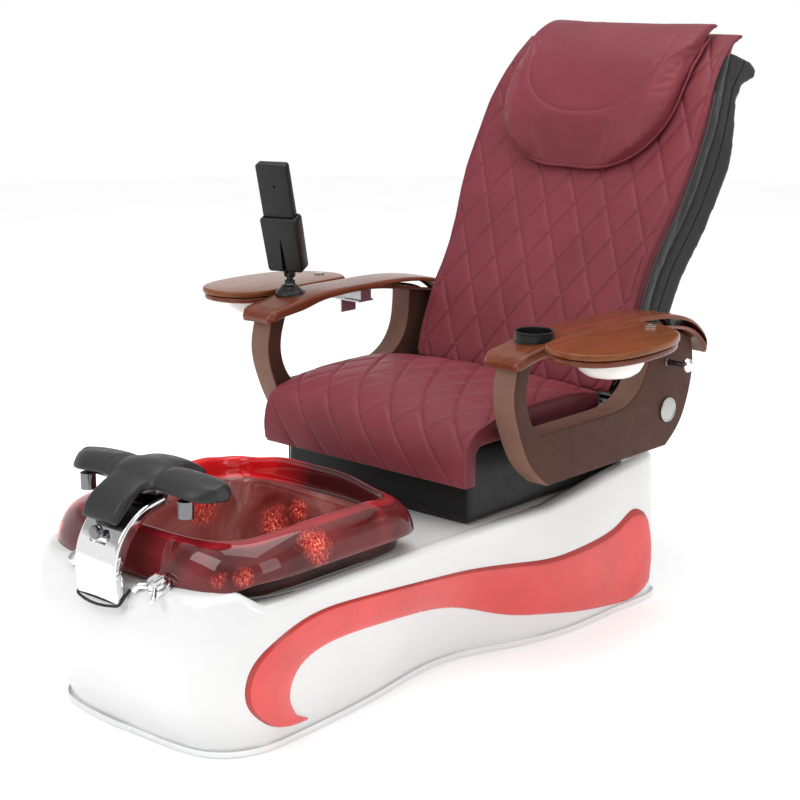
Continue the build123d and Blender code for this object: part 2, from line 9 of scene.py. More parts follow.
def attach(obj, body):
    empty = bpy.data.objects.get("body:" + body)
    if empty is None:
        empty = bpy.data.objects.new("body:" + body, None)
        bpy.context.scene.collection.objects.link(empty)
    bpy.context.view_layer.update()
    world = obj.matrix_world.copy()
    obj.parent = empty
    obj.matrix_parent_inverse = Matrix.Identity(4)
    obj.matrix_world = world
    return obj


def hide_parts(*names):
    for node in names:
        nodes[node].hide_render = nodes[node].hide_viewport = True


# Pedicure spa chair. Lengths below are millimetres in the frame's axes: +Z up, -Y the front
# (foot basin), +X the sitter's left. Blender's own metres come in through MM.
MM = 0.001
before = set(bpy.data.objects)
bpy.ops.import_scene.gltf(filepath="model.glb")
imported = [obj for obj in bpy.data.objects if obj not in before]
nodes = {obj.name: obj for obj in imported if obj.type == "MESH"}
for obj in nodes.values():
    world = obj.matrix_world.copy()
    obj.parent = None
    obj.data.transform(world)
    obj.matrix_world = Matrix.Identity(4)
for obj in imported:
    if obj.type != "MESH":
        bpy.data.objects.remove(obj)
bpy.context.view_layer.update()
scene = bpy.context.scene

# Places and sizes that several pieces share.
SIDES = ((1, "left"), (-1, "right"))
PANEL_X = (343, 405)        # inner and outer face of the left arm panel
PAD_X = (322, 430)          # inner and outer edge of the left arm pad
ARM_PIVOT = (437, 499)      # y, z of the axis that an arm lifts about
CUP = (374, -40)            # x, y of the cup ring
REMOTE = (-391, -22)        # x, y of the remote's stand
REMOTE_TURN = 20            # degrees that the stand is turned towards the sitter
BOWL = (542, 4)             # x, y of the left tray's bowl
TRAY_BOLT = (510, 200)      # x, y of the bolt that the left lid swings about
HOOK = (430, 615)           # y, z of the purse hook
BASIN_POINTS = 120          # points in each loop round the basin
QUILT = (94, 0.58)          # the back's stitch lines: spacing and slope
SEAT_PITCH = 97             # the seat's stitch lines: spacing

# ---- the back's own axes: u up the back from the recline axis, n rearward ----
LEAN = math.radians(28)
REARWARD = np.array((0, math.cos(LEAN), -math.sin(LEAN)))
PIVOT = (350, 455)


def on_back(x, u, n):
    y = PIVOT[0] + u * math.sin(LEAN) + n * math.cos(LEAN)
    z = PIVOT[1] + u * math.cos(LEAN) - n * math.sin(LEAN)
    return (x, y, z)


def from_back(y, z):
    dy, dz = y - PIVOT[0], z - PIVOT[1]
    return (dy * math.sin(LEAN) + dz * math.cos(LEAN), dy * math.cos(LEAN) - dz * math.sin(LEAN))


# ---- curves ----
def spline(points, per=8, closed=False):
    """Points along a smooth curve through the given ones, per steps between each two."""
    p = np.array(points, float)
    if closed:
        p = np.vstack([p, p[:1]])
    h = np.linalg.norm(np.diff(p, axis=0), axis=1)
    n = len(p)
    slope = np.diff(p, axis=0) / h[:, None]
    left = np.zeros((n, n))
    right = np.zeros_like(p)
    for i in range(1, n - 1):
        left[i, i - 1:i + 2] = h[i - 1], 2 * (h[i - 1] + h[i]), h[i]
        right[i] = 6 * (slope[i] - slope[i - 1])
    left[0, 0] = left[-1, -1] = 1
    if closed:
        left[0, -1] = -1
        left[-1] = 0
        left[-1, 0], left[-1, 1], left[-1, -2] = 2 * (h[0] + h[-1]), h[0], h[-1]
        right[-1] = 6 * (slope[0] - slope[-1])
    m = np.linalg.solve(left, right)
    out = []
    for i in range(n - 1):
        for t in np.arange(per) / per:
            a, b = 1 - t, t
            bend = (a ** 3 - a) * m[i] + (b ** 3 - b) * m[i + 1]
            out.append(a * p[i] + b * p[i + 1] + bend * h[i] ** 2 / 6)
    if not closed:
        out.append(p[-1])
    return np.array(out)


def outline(*runs, per=8):
    """A closed outline from smooth runs that meet at corners."""
    points = []
    for run in runs:
        line = spline(run, per) if len(run) > 2 else np.array(run, float)
        points.extend(line if not points else line[1:])
    if np.linalg.norm(points[0] - points[-1]) < 0.5:
        points.pop()
    return np.array(points)


def box(a, b, c, d):
    """The corners of a rectangle from (a, b) to (c, d)."""
    return [(a, b), (c, b), (c, d), (a, d)]


def spaced(points, step):
    """The same line with even spacing."""
    p = np.array(points, float)
    along = np.concatenate([[0], np.cumsum(np.linalg.norm(np.diff(p, axis=0), axis=1))])
    at = np.linspace(0, along[-1], max(2, int(along[-1] / step) + 1))
    return np.stack([np.interp(at, along, p[:, k]) for k in range(p.shape[1])], axis=1)


def smooth(a, b, x):
    t = np.clip((x - a) / (b - a), 0, 1)
    return t * t * (3 - 2 * t)


# ---- making pieces ----
@contextmanager
def opened(mesh):
    """The mesh as a bmesh to edit, written back at the end."""
    held = bmesh.new()
    held.from_mesh(mesh)
    yield held
    held.to_mesh(mesh)
    held.free()


def build(name, points, faces, sharp=40):
    mesh = bpy.data.meshes.new(name)
    mesh.from_pydata([tuple(float(c) * MM for c in p) for p in points], [], faces)
    mesh.validate()
    with opened(mesh) as held:
        bmesh.ops.recalc_face_normals(held, faces=held.faces)
    mesh.shade_smooth()
    mesh.set_sharp_from_angle(angle=math.radians(sharp))
    piece = bpy.data.objects.new(name, mesh)
    scene.collection.objects.link(piece)
    return piece


def place(piece, body, slot, material, *replaced):
    piece.data.materials.clear()
    for m in material if isinstance(material, list) else [material]:
        piece.data.materials.append(m)
    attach(piece, body)
    if replaced:
        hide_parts(*replaced)
    return piece


def subdivided(piece, levels=2):
    mod = piece.modifiers.new("round", "SUBSURF")
    mod.levels = mod.render_levels = levels
    return piece


def rings(name, loops, closed=False, caps=True, sharp=40):
    """A skin over closed loops of equal length; the ends are capped or joined to each other."""
    count = len(loops[0])
    points = [p for loop in loops for p in loop]
    faces = []
    last = len(loops) if closed else len(loops) - 1
    for i in range(last):
        a, b = i * count, (i + 1) % len(loops) * count
        for k in range(count):
            j = (k + 1) % count
            faces.append((a + k, a + j, b + j, b + k))
    if caps and not closed:
        for start, loop in ((0, loops[0]), ((len(loops) - 1) * count, loops[-1])):
            points.append(np.mean(np.array(loop, float), axis=0))
            faces += [(start + k, start + (k + 1) % count, len(points) - 1) for k in range(count)]
    return build(name, points, faces, sharp)


def basis(axis):
    w = Vector(axis).normalized()
    u = w.orthogonal().normalized()
    return np.array(u), np.array(w.cross(u)), np.array(w)


def lathe(name, profile, origin, axis=(0, 0, 1), sides=64, sharp=30):
    """A turned part: (radius, height) pairs about an axis through origin."""
    u, v, w = basis(axis)
    loops = []
    for r, h in profile:
        loops.append([np.array(origin) + w * h + max(r, 0.01) * (u * math.cos(t) + v * math.sin(t))
                      for t in np.linspace(0, 2 * math.pi, sides, endpoint=False)])
    return rings(name, loops, sharp=sharp)


def tube(name, path, radius, sides=12, closed=False):
    """A round bar along a line of points; radius may be one number or one a point."""
    p = np.array(path, float)
    r = np.broadcast_to(np.array(radius, float), (len(p),))
    ahead = np.roll(p, -1, axis=0) - p if closed else np.gradient(p, axis=0)
    side = Vector(ahead[0]).orthogonal().normalized()
    loops = []
    for point, along, size in zip(p, ahead, r):
        t = Vector(along).normalized()
        side = (side - t * side.dot(t)).normalized()
        up = t.cross(side)
        loops.append([point + size * (np.array(side) * math.cos(a) + np.array(up) * math.sin(a))
                      for a in np.linspace(0, 2 * math.pi, sides, endpoint=False)])
    return rings(name, loops, closed=closed, sharp=60)


def plate(name, loops, axis, low, high, edge, steps=3, sharp=30):
    """A flat part with rounded edges: closed outlines drawn across an axis, the outside first."""
    curve = bpy.data.curves.new(name, "CURVE")
    curve.dimensions = "2D"
    curve.fill_mode = "BOTH"
    curve.extrude = ((high - low) / 2 - edge) * MM
    curve.bevel_depth = edge * MM
    curve.bevel_resolution = steps
    curve.offset = -edge * MM
    for loop in loops:
        line = curve.splines.new("POLY")
        line.points.add(len(loop) - 1)
        for point, (a, b) in zip(line.points, loop):
            point.co = (a * MM, b * MM, 0, 1)
        line.use_cyclic_u = True
    drawn = bpy.data.objects.new(name + "_outline", curve)
    scene.collection.objects.link(drawn)
    made = bpy.data.meshes.new_from_object(evaluated(drawn))
    middle = (low + high) / 2
    points = []
    for v in made.vertices:
        a, b, c = v.co / MM
        c += middle
        points.append({"X": (c, a, b), "Y": (a, c, b), "Z": (a, b, c)}[axis])
    faces = [tuple(f.vertices) for f in made.polygons]
    bpy.data.objects.remove(drawn)
    bpy.data.curves.remove(curve)
    bpy.data.meshes.remove(made)
    piece = build(name, points, faces, sharp)
    merge(piece, 0.02)
    return piece


def evaluated(piece):
    bpy.context.view_layer.update()
    return piece.evaluated_get(bpy.context.evaluated_depsgraph_get())


def merge(piece, distance):
    with opened(piece.data) as held:
        bmesh.ops.remove_doubles(held, verts=held.verts, dist=distance * MM)
        bmesh.ops.recalc_face_normals(held, faces=held.faces)
    piece.data.shade_smooth()
    piece.data.set_sharp_from_angle(angle=math.radians(30))


def read(piece, what):
    values = np.zeros(len(piece.data.vertices) * 3, np.float32)
    piece.data.vertices.foreach_get(what, values)
    return values.reshape(-1, 3).astype(float)


def coords(piece):
    return read(piece, "co") / MM


def set_coords(piece, co):
    piece.data.vertices.foreach_set("co", (np.asarray(co) * MM).astype(np.float32).ravel())
    piece.data.update()


def normals(piece):
    return read(piece, "normal")


def bake(piece):
    """The piece with its modifiers applied."""
    made = bpy.data.meshes.new_from_object(evaluated(piece))
    old = piece.data
    piece.modifiers.clear()
    piece.data = made
    bpy.data.meshes.remove(old)
    piece.data.shade_smooth()
    return piece


def moved(piece, matrix):
    piece.data.transform(matrix)
    return piece


def flipped(piece):
    """The same piece moved to the other side of the chair."""
    piece.data.transform(Matrix.Diagonal((-1, 1, 1, 1)))
    piece.data.flip_normals()
    return piece


def mirrored(piece, name):
    """A copy on the other side of the chair."""
    twin = bpy.data.objects.new(name, piece.data.copy())
    scene.collection.objects.link(twin)
    return flipped(twin)


# ---- soft pieces ----
def soft_copy(name, node, shrink, voxel):
    """A fine closed copy of a CAD pad, a little smaller, with its corners eased."""
    piece = bpy.data.objects.new(name, nodes[node].data.copy())
    scene.collection.objects.link(piece)
    piece.data.materials.clear()
    merge(piece, 0.05)
    remesh = piece.modifiers.new("voxels", "REMESH")
    remesh.mode = "VOXEL"
    remesh.voxel_size = voxel * MM
    bake(piece)
    ease(piece, 6, 0.5)
    set_coords(piece, coords(piece) - normals(piece) * shrink)
    return piece


def ease(piece, repeats, factor):
    with opened(piece.data) as held:
        for _ in range(repeats):
            bmesh.ops.smooth_vert(held, verts=held.verts, factor=factor,
                                  use_axis_x=True, use_axis_y=True, use_axis_z=True)
    piece.data.update()


def inflate(piece, cap, held=None, pressure=4, frames=20):
    """Fills a pad by cloth simulation. Held points stay; none moves further than cap."""
    start = coords(piece)
    cloth = piece.modifiers.new("cloth", "CLOTH")
    s = cloth.settings
    s.quality = 5
    s.mass = 0.3
    s.tension_stiffness = s.compression_stiffness = 15
    s.bending_stiffness = 0.5
    s.use_pressure = True
    s.uniform_pressure_force = pressure
    s.effector_weights.gravity = 0
    if held is not None:
        group = piece.vertex_groups.new(name="held")
        group.add([int(i) for i in np.nonzero(held)[0]], 1.0, "REPLACE")
        s.vertex_group_mass = "held"
    cloth.point_cache.frame_start = 1
    cloth.point_cache.frame_end = frames
    for step in range(1, frames + 1):
        scene.frame_set(step)
    shift = coords(piece.evaluated_get(bpy.context.evaluated_depsgraph_get())) - start
    length = np.linalg.norm(shift, axis=1)
    shift *= (np.minimum(length, cap) / np.maximum(length, 1e-6))[:, None]
    piece.modifiers.remove(cloth)
    piece.vertex_groups.clear()
    scene.frame_set(1)
    set_coords(piece, start + shift)
    ease(piece, 2, 0.5)


def finer(piece, levels=1):
    subdivided(piece, levels)
    return bake(piece)


def stitches(name, path, normal, pitch=9, length=5.5, thick=0.7):
    """A row of sewn stitches as short threads lying on a surface."""
    line = spaced(path, pitch)
    points, faces = [], []
    for i in range(len(line) - 1):
        a = np.array(line[i])
        d = np.array(line[i + 1]) - a
        d /= np.linalg.norm(d)
        up = np.array(normal[min(i * len(normal) // len(line), len(normal) - 1)], float)
        side = np.cross(d, up)
        side /= np.linalg.norm(side)
        base = len(points)
        for t, lift, w in ((0, -0.3, 0.35), (0.25, 0.5, 1), (0.75, 0.5, 1), (1, -0.3, 0.35)):
            c = a + d * length * t + up * lift
            for k in range(6):
                angle = 2 * math.pi * k / 6
                points.append(c + w * thick * (side * math.cos(angle) + up * math.sin(angle)))
        for r in range(3):
            for k in range(6):
                j = (k + 1) % 6
                faces.append((base + r * 6 + k, base + r * 6 + j, base + r * 6 + 6 + j, base + r * 6 + 6 + k))
        faces.append(tuple(base + k for k in range(6)))
        faces.append(tuple(base + 18 + k for k in range(6)))
    return build(name, points, faces, 60)


# ---- materials ----
class Surface:
    """A material with object-space texture nodes feeding one principled shader."""

    def __init__(self, name, rough, metal=0.0, coat=0.0, coat_rough=0.05, sheen=0.0, ior=1.5, gloss=0.5):
        self.material = bpy.data.materials.new(name)
        self.material.use_nodes = True
        self.tree = self.material.node_tree
        self.shader = self.tree.nodes["Principled BSDF"]
        self.place = self.node("ShaderNodeTexCoord").outputs["Object"]
        values = {"Roughness": rough, "Metallic": metal, "Coat Weight": coat, "Coat Roughness": coat_rough,
                  "Sheen Weight": sheen, "IOR": ior, "Specular IOR Level": gloss}
        for socket, value in values.items():
            self.shader.inputs[socket].default_value = value
        self.height = None

    def node(self, kind, **settings):
        made = self.tree.nodes.new(kind)
        for key, value in settings.items():
            setattr(made, key, value)
        return made

    def link(self, a, b):
        self.tree.links.new(a, b)

    def stretched(self, scale):
        mapping = self.node("ShaderNodeMapping")
        mapping.inputs["Scale"].default_value = scale
        self.link(self.place, mapping.inputs["Vector"])
        return mapping.outputs["Vector"]

    def noise(self, scale, detail=4, where=None, distortion=0.0):
        made = self.node("ShaderNodeTexNoise")
        made.inputs["Scale"].default_value = scale
        made.inputs["Detail"].default_value = detail
        made.inputs["Distortion"].default_value = distortion
        self.link(where or self.place, made.inputs["Vector"])
        return made.outputs["Fac"]

    def cells(self, scale, feature="F1"):
        made = self.node("ShaderNodeTexVoronoi", feature=feature)
        made.inputs["Scale"].default_value = scale
        self.link(self.place, made.inputs["Vector"])
        return made.outputs["Distance"]

    def ramp(self, value, *stops):
        made = self.node("ShaderNodeValToRGB")
        elements = made.color_ramp.elements
        while len(elements) < len(stops):
            elements.new(0.5)
        for element, (at, colour) in zip(elements, stops):
            element.position = at
            element.color = (*colour, 1) if len(colour) == 3 else colour
        self.link(value, made.inputs["Fac"])
        return made.outputs["Color"]

    def blend(self, share, first, second):
        made = self.node("ShaderNodeMix", data_type="RGBA")
        for socket, value in zip((0, 6, 7), (share, first, second)):
            self.link(value, made.inputs[socket])
        return made.outputs[2]

    def span(self, value, a, b, low, high):
        made = self.node("ShaderNodeMapRange")
        for socket, number in zip(("From Min", "From Max", "To Min", "To Max"), (a, b, low, high)):
            made.inputs[socket].default_value = number
        self.link(value, made.inputs["Value"])
        return made.outputs["Result"]

    def colour(self, output):
        self.link(output, self.shader.inputs["Base Color"])
        return self

    def roughness(self, value, low, high):
        self.link(self.span(value, 0.3, 0.7, low, high), self.shader.inputs["Roughness"])
        return self

    def bump(self, value, depth, strength=1.0):
        """Adds relief; depth is in millimetres."""
        made = self.node("ShaderNodeBump")
        made.inputs["Strength"].default_value = strength
        made.inputs["Distance"].default_value = depth * MM
        self.link(value, made.inputs["Height"])
        if self.height is not None:
            self.link(self.height, made.inputs["Normal"])
        self.height = made.outputs["Normal"]
        self.link(self.height, self.shader.inputs["Normal"])
        return self


def tint(colour, k):
    return tuple(min(1, c * k) for c in colour)


def leather(name, colour, rough=0.42, grain=420, depth=0.12, coat=0.0, gloss=0.16):
    s = Surface(name, rough, coat=coat, coat_rough=0.3, gloss=gloss)
    patch = s.noise(7, 3)
    s.colour(s.ramp(patch, (0.25, tint(colour, 0.86)), (0.55, colour), (0.8, tint(colour, 1.12))))
    s.roughness(s.noise(35, 4), rough - 0.05, rough + 0.08)
    s.bump(s.noise(14, 3), 0.8, 0.35)
    return s.bump(s.cells(grain), depth, 0.5).material


def gelcoat():
    s = Surface("gelcoat", 0.16, coat=0.8, coat_rough=0.04)
    s.colour(s.ramp(s.noise(3, 2), (0.3, (0.68, 0.685, 0.68)), (0.7, (0.74, 0.745, 0.74))))
    s.roughness(s.noise(18, 5), 0.14, 0.24)
    return s.bump(s.noise(60, 2), 0.05, 0.4).material


def lacquer(name, colour, rough=0.22):
    s = Surface(name, rough, coat=0.25, coat_rough=0.06, gloss=0.3)
    s.colour(s.ramp(s.noise(9, 3), (0.3, tint(colour, 0.9)), (0.7, tint(colour, 1.08))))
    s.roughness(s.noise(30, 4), rough - 0.05, rough + 0.06)
    return s.bump(s.noise(80, 2), 0.04, 0.4).material


def metal(name, colour, rough, grain=(60, 60, 60), depth=0.02):
    s = Surface(name, rough, metal=1.0)
    brushed = s.noise(6, 5, s.stretched(grain))
    s.colour(s.ramp(brushed, (0.3, tint(colour, 0.9)), (0.7, colour)))
    s.roughness(s.noise(25, 4), max(0.02, rough - 0.03), rough + 0.05)
    return s.bump(brushed, depth, 0.4).material


def plastic(name, colour, rough=0.4, grain=900, depth=0.03, gloss=0.4):
    s = Surface(name, rough, gloss=gloss)
    s.colour(s.ramp(s.noise(12, 3), (0.3, tint(colour, 0.88)), (0.7, tint(colour, 1.1))))
    s.roughness(s.noise(40, 4), rough - 0.05, rough + 0.08)
    return s.bump(s.noise(grain, 2), depth, 0.5).material


def wood(name, dark, bright):
    s = Surface(name, 0.3, coat=0.22, coat_rough=0.08, gloss=0.2)
    long = s.stretched((34, 3.2, 34))
    figure = s.noise(1.0, 6, long, 1.2)
    s.colour(s.ramp(figure, (0.28, dark), (0.5, tuple((a + b) / 2 for a, b in zip(dark, bright))),
                    (0.72, bright)))
    pores = s.noise(9, 3, s.stretched((60, 4, 60)))
    s.roughness(pores, 0.2, 0.32)
    return s.bump(pores, 0.05, 0.35).material


def see_through(name, *tones, glows=(), fade=None):
    """Glossy red plastic with cloudy tones, and crinkled patches of a given centre and radius, whose
    brightest flecks are painted glints; where there are patches the whole surface glows as painted light.

    fade gives the x where the tones start to darken as painted shade, the x where they are fully darkened,
    and the colour of that painted shade.
    """
    s = Surface(name, 0.06, coat=0.35, coat_rough=0.02, ior=1.49, gloss=0.3)
    colour = s.ramp(s.noise(7, 4, None, 0.8), *tones)
    if fade:
        along = s.node("ShaderNodeSeparateXYZ")
        s.link(s.place, along.inputs["Vector"])
        share = s.span(along.outputs["X"], fade[0] * MM, fade[1] * MM, 0, 1)
        dim = s.ramp(s.noise(6, 3), (0.3, tint(fade[2], 0.7)), (0.7, tint(fade[2], 1.3)))
        colour = s.blend(share, colour, dim)
    # crinkled patch colour; its brightest stops are painted glints
    foil_and_glints = s.ramp(s.noise(230, 4, s.stretched((1, 1, 0.6)), 0.4), (0.38, (0.20, 0.006, 0.008)),
                  (0.50, (0.46, 0.030, 0.022)), (0.62, (0.80, 0.16, 0.10)), (0.74, (1.0, 0.60, 0.45)))
    ragged = s.noise(28, 3)
    for place_mm, radius in glows:
        away = s.node("ShaderNodeVectorMath", operation="DISTANCE")
        s.link(s.place, away.inputs[0])
        away.inputs[1].default_value = tuple(MM * c for c in place_mm)
        edge = s.node("ShaderNodeMath", operation="MULTIPLY_ADD")
        s.link(ragged, edge.inputs[0])
        edge.inputs[1].default_value = -0.9 * radius * MM
        s.link(away.outputs["Value"], edge.inputs[2])
        near = s.span(edge.outputs[0], radius * MM * 0.6, -0.25 * radius * MM, 0, 1)
        colour = s.blend(near, colour, foil_and_glints)
    s.colour(colour)
    # painted glow: where there are patches, the surface's whole colour is emitted at strength 0.3, though it
    # is no lamp
    if glows:
        s.link(colour, s.shader.inputs["Emission Color"])
        s.shader.inputs["Emission Strength"].default_value = 0.3
    return s.bump(s.noise(10, 3), 1.2, 0.4).material


MAROON = (0.185, 0.034, 0.045)
maroon = leather("maroon_leather", MAROON)
# painted shade: a darker copy of the maroon for the cushions' side faces, which stand in shade
maroon_side_shade = leather("maroon_side_shade", tint(MAROON, 0.62))
maroon_pipe = leather("maroon_piping", tint(MAROON, 0.95), 0.36, 700, 0.06)
black = leather("black_vinyl", (0.008, 0.0075, 0.0075), 0.4, 520, 0.08, 0.0, 0.22)
pad_grey = plastic("footrest_grey", (0.016, 0.016, 0.017), 0.4, 700, 0.03, 0.4)
dark_thread = plastic("dark_thread", (0.06, 0.05, 0.05), 0.6)
white_gel = gelcoat()
coral = lacquer("coral_accent", (0.68, 0.075, 0.070))
coral_edge = lacquer("coral_bevel", (0.40, 0.036, 0.032))
chrome = metal("chrome", (0.86, 0.86, 0.87), 0.07)
dark_chrome = metal("dark_chrome", (0.20, 0.20, 0.21), 0.16)
steel = metal("zinc_steel", (0.55, 0.56, 0.58), 0.32, (20, 300, 20), 0.05)
coated_steel = plastic("black_steel", (0.02, 0.02, 0.022), 0.35, 500, 0.05)
rubber = plastic("rubber", (0.018, 0.018, 0.018), 0.7, 400, 0.06)
resin = plastic("abs_resin", (0.30, 0.30, 0.30), 0.4)
pipe_grey = plastic("pipe", (0.25, 0.26, 0.27), 0.45)
case_grey = plastic("control_case", (0.07, 0.07, 0.075), 0.45)
black_plastic = plastic("black_plastic", (0.007, 0.007, 0.0075), 0.34, 900, 0.03, 0.35)
button_grey = plastic("button_grey", (0.30, 0.31, 0.33), 0.45)
roller_tan = plastic("roller", (0.30, 0.20, 0.12), 0.45)
ply = wood("plywood", (0.30, 0.19, 0.10), (0.45, 0.30, 0.17))
cherry = wood("cherry_wood", (0.105, 0.024, 0.010), (0.185, 0.048, 0.020))
cherry_top = wood("cherry_lid", (0.125, 0.030, 0.007), (0.215, 0.062, 0.013))
badge_metal = metal("badge_metal", (0.46, 0.46, 0.45), 0.2)
brown = plastic("brown_laminate", (0.066, 0.027, 0.019), 0.5, 600, 0.05, 0.14)
brown_band = plastic("brown_band", (0.20, 0.105, 0.075), 0.5, 600, 0.05, 0.2)
bowl_white = lacquer("bowl_white", (0.80, 0.78, 0.75), 0.2)
# painted glow: the apron's crinkled patches and the whole apron glow as painted light
tub = see_through("tub_apron", (0.30, (0.040, 0.006, 0.006)), (0.48, (0.085, 0.010, 0.011)),
                  (0.62, (0.125, 0.014, 0.016)), (0.75, (0.175, 0.020, 0.022)),
                  glows=[((258, -866, 380), 27), ((294, -824, 384), 29), ((300, -636, 408), 46)])
# painted light and shade: the band is bright red as if lit, darkening towards +x as painted shade
tub_band_light_and_shade = see_through("tub_band_light_and_shade", (0.35, (0.50, 0.007, 0.010)), (0.65, (0.78, 0.014, 0.018)),
                       fade=(-130, 0, (0.055, 0.007, 0.008)))
# painted highlight: the crest gets a brighter red for the line of light along it
tub_crest_highlight = see_through("tub_crest_highlight", (0.35, (0.20, 0.008, 0.013)), (0.65, (0.32, 0.016, 0.024)))
# painted glow: the tub wall's crinkled patches and the whole wall glow as painted light
tub_wall = see_through("tub_wall", (0.30, (0.10, 0.012, 0.011)), (0.50, (0.19, 0.045, 0.040)),
                       (0.70, (0.26, 0.090, 0.080)),
                       glows=[((-225, -480, 352), 60), ((-90, -366, 300), 50), ((-20, -372, 345), 32)])
tub_floor = see_through("tub_floor", (0.35, (0.012, 0.004, 0.003)), (0.65, (0.045, 0.010, 0.008)))

CAD_LOOKS = {
    "base_trim": chrome, "base_feet": rubber, "chassis_tubes": coated_steel, "slide_rails": steel,
    "slide_actuator": coated_steel, "drain_strainer": steel, "drain_pipe": pipe_grey,
    "jet_housing": resin, "jet_impeller": resin, "jet_cover": steel, "access_panel": resin,
    "control_box": case_grey, "footrest_plate": dark_chrome, "seat_runners": steel, "seat_pan": ply,
    "actuator_rod": steel, "recline_frame": coated_steel, "recline_motor": case_grey,
    "back_frame": coated_steel, "massage_rails": steel, "massage_carriage": case_grey,
    "massage_rollers": roller_tan, "tray_bracket_left": steel, "tray_bracket_right": steel,
    "button_massage": button_grey, "button_recline": button_grey, "button_slide": button_grey,
}
for name, look in CAD_LOOKS.items():
    node = nodes[name]
    node.data.materials.clear()
    node.data.materials.append(look)

# ---- camera, floor and light, seen from the front left ----
camera = bpy.data.objects.new("camera", bpy.data.cameras.new("camera"))
scene.collection.objects.link(camera)
turn, tip = math.radians(42.0), math.radians(13.8)
ahead = Vector((-math.sin(turn) * math.cos(tip), math.cos(turn) * math.cos(tip), -math.sin(tip)))
camera.rotation_mode = "QUATERNION"
camera.rotation_quaternion = ahead.to_track_quat("-Z", "Y")
camera.location = (2.6971, -3.0517, 1.5349)
camera.data.sensor_width = 36
camera.data.lens = 80.97
camera.data.clip_end = 100
scene.camera = camera
scene.view_settings.view_transform = "Standard"

floor = build("floor", [(9000 * math.cos(a), 9000 * math.sin(a), -0.5)
                        for a in np.linspace(0, 2 * math.pi, 48, endpoint=False)], [tuple(range(48))])
paint = Surface("floor_paper", 0.9)
paint.colour(paint.ramp(paint.noise(2, 3), (0.3, (0.94, 0.94, 0.94)), (0.7, (0.97, 0.97, 0.97))))
paint.shader.inputs["Emission Color"].default_value = (1, 1, 1, 1)
paint.shader.inputs["Emission Strength"].default_value = 0.20
floor.data.materials.append(paint.material)

world = bpy.data.worlds.new("studio")
scene.world = world
world.use_nodes = True
sky = world.node_tree.nodes
height = sky.new("ShaderNodeSeparateXYZ")
tone = sky.new("ShaderNodeValToRGB")
bands = [(0.0, 1.0), (0.62, 1.0), (0.68, 0.45), (0.80, 0.40), (0.86, 0.95), (1.0, 1.0)]
while len(tone.color_ramp.elements) < len(bands):
    tone.color_ramp.elements.new(0.5)
for element, (at, value) in zip(tone.color_ramp.elements, bands):
    element.position = at
    element.color = (value, value, value, 1)
shift = sky.new("ShaderNodeMapRange")
shift.inputs["From Min"].default_value = -1
world.node_tree.links.new(sky.new("ShaderNodeTexCoord").outputs["Generated"], height.inputs["Vector"])
world.node_tree.links.new(height.outputs["Z"], shift.inputs["Value"])
world.node_tree.links.new(shift.outputs["Result"], tone.inputs["Fac"])
world.node_tree.links.new(tone.outputs["Color"], sky["Background"].inputs["Color"])
sky["Background"].inputs["Strength"].default_value = 1.0


def softbox(name, position, target, size, power):
    light = bpy.data.lights.new(name, "AREA")
    light.shape = "RECTANGLE"
    light.size, light.size_y = size
    light.energy = power
    lamp = bpy.data.objects.new(name, light)
    lamp.location = position
    lamp.rotation_mode = "QUATERNION"
    lamp.rotation_quaternion = (Vector(target) - Vector(position)).to_track_quat("-Z", "Y")
    scene.collection.objects.link(lamp)


softbox("key", (-0.6, -4.0, 3.4), (0, -0.2, 0.5), (2.6, 1.8), 60)
softbox("top", (0.2, 0.2, 4.2), (0, 0, 0.4), (3.2, 3.2), 80)
softbox("side", (4.2, 0.8, 2.4), (0, 0.1, 0.6), (1.6, 2.4), 26)


# ---- base ----
LEVELS = [
    (16, -885, (282, 260, 240, 302, 331, 338)),
    (120, -930, (300, 280, 262, 312, 334, 338)),
    (230, -950, (316, 304, 296, 320, 334, 336)),
    (316, -925, (318, 316, 314, 322, 330, 332)),
    (380, -890, (312, 312, 312, 318, 326, 328)),
]
STATIONS = (-690, -409, -160, 21, 143, 400)


def base_section(nose, halves):
    first, last = halves[0], halves[-1]
    side = [(150, nose + 6), (0.82 * first, nose + 34), (0.97 * first, nose + 96)]
    side += list(zip(halves, STATIONS)) + [(last - 2, 487), (last - 18, 517), (last - 60, 525)]
    return spline([(0, nose)] + side + [(0, 525)] + [(-x, y) for x, y in reversed(side)], 8, True)


SECTIONS = np.array([base_section(nose, halves) for _, nose, halves in LEVELS])
HEIGHTS = np.array([level[0] for level in LEVELS], float)
SLOPES = np.gradient(SECTIONS, HEIGHTS, axis=0)
SLOPES[0] = 0


def base_point(k, z):
    """Point k round the base at height z."""
    z = min(max(z, HEIGHTS[0]), HEIGHTS[-1])
    i = int(np.clip(np.searchsorted(HEIGHTS, z) - 1, 0, len(HEIGHTS) - 2))
    h = HEIGHTS[i + 1] - HEIGHTS[i]
    t = (z - HEIGHTS[i]) / h
    a = (2 * t ** 3 - 3 * t * t + 1) * SECTIONS[i, k] + (3 * t * t - 2 * t ** 3) * SECTIONS[i + 1, k]
    return a + h * ((t ** 3 - 2 * t * t + t) * SLOPES[i, k] + (t ** 3 - t * t) * SLOPES[i + 1, k])


def shoulder_height(y):
    return float(np.interp(y, (-1007, -900, -842, -800, 100, 480, 575),
                           (262, 346, 352, 320, 320, 366, 366)))


def inner_edge(x, y):
    """Where the deck's rim ends, level with a point of the outline."""
    if y < -590:
        middle, half, reach, power = -590, 290, 268, 3.2
    elif y > 200:
        middle, half, reach, power = 200, 292, 282, 14
    else:
        return (math.copysign(290 + 2 * (y + 590) / 790, x), y)
    a, b = abs(x) / half, abs(y - middle) / reach
    scale = (a ** power + b ** power) ** (-1 / power)
    return (x * scale, middle + (y - middle) * scale)


